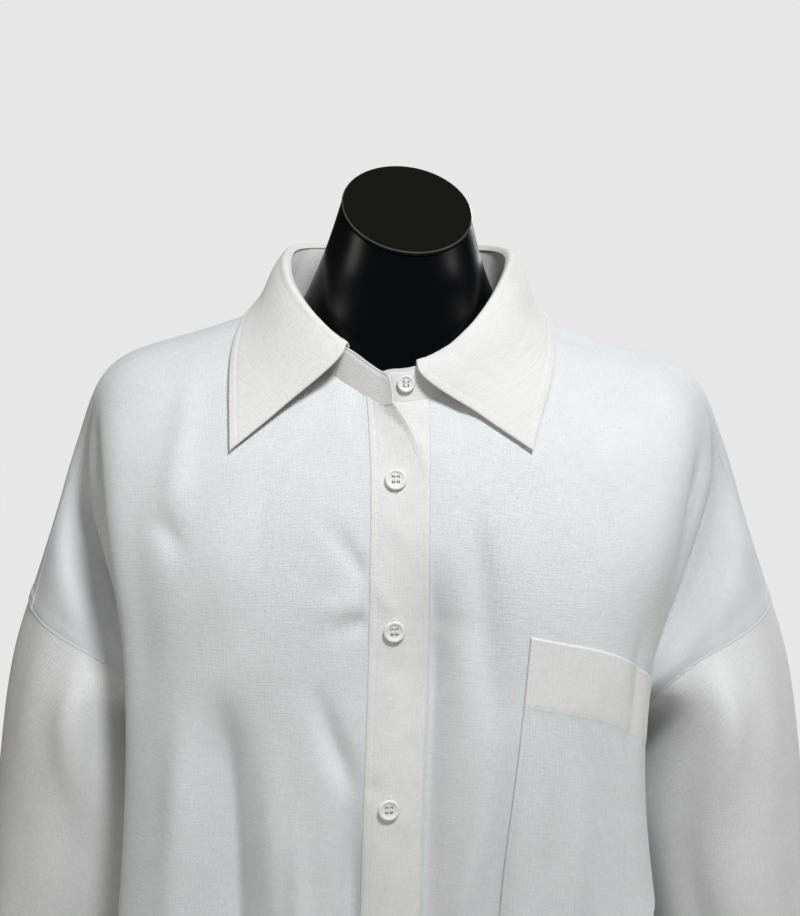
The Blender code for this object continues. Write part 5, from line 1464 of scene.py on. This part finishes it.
# Outline from the foot to the dish, as shares of the radius and of the height
BUTTON_PROFILE = (
    (0.70, 0.0), (0.84, 0.06), (0.95, 0.22), (1.0, 0.46), (0.995, 0.62), (0.975, 0.80), (0.94, 0.92),
    (0.89, 0.99), (0.83, 1.0), (0.76, 0.97), (0.70, 0.88), (0.65, 0.76), (0.58, 0.69), (0.46, 0.66),
)
BUTTON_SIDES = 72
HOLE_RADIUS = 0.17
HOLE_SIDES = 20
HOLE_PLACE = 0.22
STRANDS = (-0.28, 0.0, 0.28)
STRAND_HEIGHT = 0.6
STRAND_LENGTH = 2.3
STRAND_RADIUS = 0.2
STRAND_BOW = 0.55
SATIN_PITCH = 0.42
SATIN_REACH = 0.8
SATIN_LENGTH = 1.5
SATIN_RADIUS = 0.21
SATIN_BOW = 0.1
BUTTONHOLE_LENGTH = 15.0
BUTTONHOLE_WIDTH = 2.4
BUTTON_WHITE = (0.80, 0.80, 0.78)
COLLAR_BUTTON_HEIGHT = 10.0
COLLAR_BUTTON_TURN = math.pi - 0.05
CUFF_BUTTON_SHARE = 1.014


def button_mesh(name, radius, finish):
    """A turned disc with four holes cut through it, at the origin with its face upwards."""
    profile = np.array(BUTTON_PROFILE) * (radius, BUTTON_HEIGHT)
    blank = put_piece(name, turned_points(profile, BUTTON_SIDES), finish)
    face_outwards(blank)
    bore = HOLE_RADIUS * radius
    hole = turned_points([(bore, -1.0), (bore, BUTTON_HEIGHT + 1.0)], HOLE_SIDES).reshape(-1, 3)
    places = np.array([(1, 1, 0), (-1, 1, 0), (-1, -1, 0), (1, -1, 0)]) * HOLE_PLACE * radius
    faces = [[int(v) + len(hole) * k for v in face] for k in range(4) for face in ring_faces(2, HOLE_SIDES)]
    drill_mesh = bpy.data.meshes.new("drill")
    drill_mesh.from_pydata(((hole + places[:, None]).reshape(-1, 3) * MM).tolist(), [], faces)
    drill = put_mesh("drill", drill_mesh)
    holes = blank.modifiers.new("holes", "BOOLEAN")
    holes.operation, holes.solver, holes.object = "DIFFERENCE", "EXACT", drill
    mesh = bpy.data.meshes.new_from_object(blank.evaluated_get(bpy.context.evaluated_depsgraph_get()))
    bpy.data.objects.remove(drill)
    bpy.data.objects.remove(blank)
    mesh.shade_smooth()
    mesh.set_sharp_from_angle(angle=math.radians(50.0))
    return mesh


def sewn_button(name, mesh, radius, spot, normal, node, crossed=False):
    """A copy of the button set on the cloth, given back with its thread: strands in two bars."""
    turn = Vector(normal).to_track_quat("Z", "Y").to_matrix().to_4x4()
    body = mesh.copy()
    body.transform(Matrix.Translation((Vector(spot) + Vector(FLOOR_LIFT)) * MM) @ turn)
    put_mesh(name, body, node)
    axes = np.array(turn.to_3x3())
    reach = HOLE_PLACE * radius
    aside, ahead = ((0, 1, 0), (1, 0, 0)) if crossed else ((1, 0, 0), (0, 1, 0))
    places = np.array([side * reach + strand for strand in STRANDS for side in (-1.0, 1.0)])
    middle = np.outer(places, aside) + (0.0, 0.0, STRAND_HEIGHT * BUTTON_HEIGHT)
    ahead, up = (np.tile(axes @ way, (len(places), 1)) for way in (ahead, (0, 0, 1)))
    return spindles(spot + middle @ axes.T, ahead, up, STRAND_LENGTH * reach, STRAND_RADIUS, STRAND_BOW)


def buttonhole(surface, across, row):
    """Satin stitches: short threads side by side, square to a long rounded outline on the band.

    The outline runs up one straight side, round an end, down the other side and round again.
    """
    step = surface(np.array(across), np.array(row + 0.1)) - surface(np.array(across), np.array(row - 0.1))
    per_row = float(np.linalg.norm(step)) / 0.2
    straight = BUTTONHOLE_LENGTH - BUTTONHOLE_WIDTH
    half_turn = 0.5 * math.pi * BUTTONHOLE_WIDTH
    run = np.arange(0.0, 2 * (straight + half_turn), SATIN_PITCH)
    first_end = np.clip((run - straight) / half_turn, 0.0, 1.0)
    last_end = np.clip((run - 2 * straight - half_turn) / half_turn, 0.0, 1.0)
    turn = math.pi * (first_end + last_end)
    x = 0.5 * BUTTONHOLE_WIDTH * np.cos(turn)
    y = np.clip(run, 0.0, straight) - np.clip(run - straight - half_turn, 0.0, straight)
    y = y - 0.5 * straight + 0.5 * BUTTONHOLE_WIDTH * np.sin(turn)
    inner = surface(across + x, row + y / per_row)
    x_out, y_out = x + SATIN_REACH * np.cos(turn), y + SATIN_REACH * np.sin(turn)
    outer = surface(across + x_out, row + y_out / per_row)
    ahead = outer - inner
    ahead /= np.linalg.norm(ahead, axis=-1, keepdims=True)
    up = np.tile(outwards(surface, np.array([across]), np.array([row])), (len(run), 1))
    up = up - ahead * np.sum(up * ahead, axis=-1, keepdims=True)
    up /= np.linalg.norm(up, axis=-1, keepdims=True)
    face = inner + up * (CLOTH + PLACKET_RISE - 0.02)
    return spindles(face, ahead, up, SATIN_LENGTH, SATIN_RADIUS, SATIN_BOW)


resin, _, resin_shader = new_finish("button_resin", BUTTON_WHITE, 0.28)
resin_shader.inputs["Coat Weight"].default_value = 0.3
resin_shader.inputs["Coat Roughness"].default_value = 0.12
large_button = button_mesh("large_button", BUTTON_RADIUS, resin)
small_button = button_mesh("small_button", SMALL_BUTTON_RADIUS, resin)
threads, buttonholes = [], []
for number, level in enumerate(BUTTON_LEVELS, 1):
    row = row_at_level(BUTTON_OFFSET, level)
    place = np.array([BUTTON_OFFSET]), np.array([row])
    normal = outwards(lapped_drape, *place)[0]
    spot = lapped_drape(*place)[0] + normal * (CLOTH + PLACKET_RISE + BUTTON_LIFT)
    threads.append(sewn_button(f"front_button_{number}", large_button, BUTTON_RADIUS, spot, normal,
                               f"button_{number}"))
    buttonholes.append(buttonhole(lapped_drape, BUTTON_OFFSET, row))
# The collar button sits square to a little patch of the stand
turns = COLLAR_BUTTON_TURN + np.array([-0.05, 0.0, 0.05])
patch = stand_points(turns, np.tile(COLLAR_BUTTON_HEIGHT + np.array([-1.0, 0.0, 1.0]), (3, 1)))
normal = looking_away(patch)[1, 1]
spot = patch[1, 1] + normal * (STIFF_CLOTH + BUTTON_LIFT)
threads.append(sewn_button("neck_button", small_button, SMALL_BUTTON_RADIUS, spot, normal,
                           "collar_button", crossed=True))
column = int(np.argmin(np.abs(cuff_shares() - CUFF_BUTTON_SHARE)))
for word, side in (("right", -1.0), ("left", 1.0)):
    base, normals = cuff_points(side)
    middle = base.shape[1] // 2
    normal = normals[column, middle]
    spot = base[column, middle] + normal * (STIFF_CLOTH + BUTTON_LIFT)
    threads.append(sewn_button(f"{word}_cuff_button", small_button, SMALL_BUTTON_RADIUS, spot, normal,
                               f"cuff_button_{word}"))
sew("button_threads", threads)
sew("buttonholes", buttonholes)

# Room
# A plain pale floor that fades into the even backdrop, and soft studio light.
BACKDROP = (0.80, 0.80, 0.80)
AMBIENT = (1.0, 0.97, 0.92)
AMBIENT_STRENGTH = 0.13
GLOSS_STRENGTH = 0.03
FLOOR_RADIUS = 1.6
FLOOR_SIDES = 96
FADE_FROM, FADE_TO = 0.5, 1.5
world = bpy.data.worlds.new("studio")
bpy.context.scene.world = world
world.use_nodes = True
sky = world.node_tree
sky.nodes["Background"].inputs["Color"].default_value = (*AMBIENT, 1.0)
sky.nodes["Background"].inputs["Strength"].default_value = AMBIENT_STRENGTH
seen = add_node(sky, "ShaderNodeBackground", [("Color", (*BACKDROP, 1.0)), ("Strength", 1.0)])
mirrored = add_node(sky, "ShaderNodeBackground", [("Color", (*BACKDROP, 1.0)), ("Strength", GLOSS_STRENGTH)])
path = add_node(sky, "ShaderNodeLightPath")
lit = add_node(sky, "ShaderNodeMixShader", [
    (0, path.outputs["Is Glossy Ray"]), (1, sky.nodes["Background"].outputs[0]), (2, mirrored.outputs[0])])
pick = add_node(sky, "ShaderNodeMixShader", [
    (0, path.outputs["Is Camera Ray"]), (1, lit.outputs[0]), (2, seen.outputs[0])])
sky.links.new(pick.outputs[0], sky.nodes["World Output"].inputs["Surface"])
bpy.context.scene.view_settings.view_transform = "Standard"

floor_finish, floor_tree, floor_shader = new_finish("floor_paint", (0.72, 0.72, 0.72), 0.8)
spot = add_node(floor_tree, "ShaderNodeTexCoord").outputs["Object"]
distance = add_node(floor_tree, "ShaderNodeVectorMath", [(0, spot)], operation="LENGTH")
fade = add_node(floor_tree, "ShaderNodeMapRange", [
    ("Value", distance.outputs["Value"]), ("From Min", FADE_FROM), ("From Max", FADE_TO)],
    interpolation_type="SMOOTHSTEP")
clear = add_node(floor_tree, "ShaderNodeBsdfTransparent")
mixed = add_node(floor_tree, "ShaderNodeMixShader", [
    (0, fade.outputs["Result"]), (1, floor_shader.outputs[0]), (2, clear.outputs[0])])
floor_tree.links.new(mixed.outputs[0], floor_tree.nodes["Material Output"].inputs["Surface"])
floor_mesh = bpy.data.meshes.new("floor")
floor_ring = turned_points([(FLOOR_RADIUS, -0.0002)], FLOOR_SIDES)[0]
floor_mesh.from_pydata(floor_ring.tolist(), [], [list(range(FLOOR_SIDES))])
floor_mesh.materials.append(floor_finish)
floor = bpy.data.objects.new("floor", floor_mesh)
bpy.context.scene.collection.objects.link(floor)

# Powers in watts, the rest in metres
LAMP_COLUMNS = ("name", "place", "aim", "size", "power", "colour")
LAMPS = (
    ("key", (0.42, -0.95, 2.1), (0.0, 0.0, 0.62), 0.4, 28.0, (0.965, 0.985, 1.0)),
    ("fill", (-0.6, -2.0, 1.6), (0.0, 0.0, 0.6), 1.1, 8.0, (0.99, 0.99, 0.985)),
    ("left_side", (-1.6, -0.5, 1.3), (0.0, 0.0, 0.8), 0.5, 2.2, (1.0, 0.98, 0.95)),
    ("right_side", (1.6, -0.4, 1.2), (0.0, 0.0, 0.8), 0.5, 1.6, (1.0, 0.98, 0.95)),
    ("behind", (1.0, 1.9, 1.2), (0.0, 0.0, 0.5), 0.5, 17.0, (0.98, 0.99, 1.0)),
)
for lamp in named(LAMPS, LAMP_COLUMNS):
    data = bpy.data.lights.new(lamp["name"], "AREA")
    data.shape = "DISK"
    data.size = lamp["size"]
    data.energy = lamp["power"]
    data.color = lamp["colour"]
    light = bpy.data.objects.new(lamp["name"], data)
    light.location = lamp["place"]
    light.visible_glossy = lamp["name"] not in ("key", "fill")
    light.rotation_euler = (Vector(lamp["aim"]) - light.location).to_track_quat("-Z", "Y").to_euler()
    bpy.context.scene.collection.objects.link(light)

# Camera
# Just above the collar, a little over a metre away, looking slightly down.
CAMERA_PLACE = (0.0, -1.05, 0.983)
CAMERA_DOWN = 13.3
LENS_PIXELS = 1690.0
FRAME_PIXELS = 916.0
SENSOR = 36.0
camera_data = bpy.data.cameras.new("camera")
camera_data.sensor_width = SENSOR
camera_data.lens = LENS_PIXELS / FRAME_PIXELS * SENSOR
camera = bpy.data.objects.new("camera", camera_data)
camera.location = CAMERA_PLACE
camera.rotation_euler = (math.radians(90.0 - CAMERA_DOWN), 0.0, 0.0)
bpy.context.scene.collection.objects.link(camera)
bpy.context.scene.camera = camera
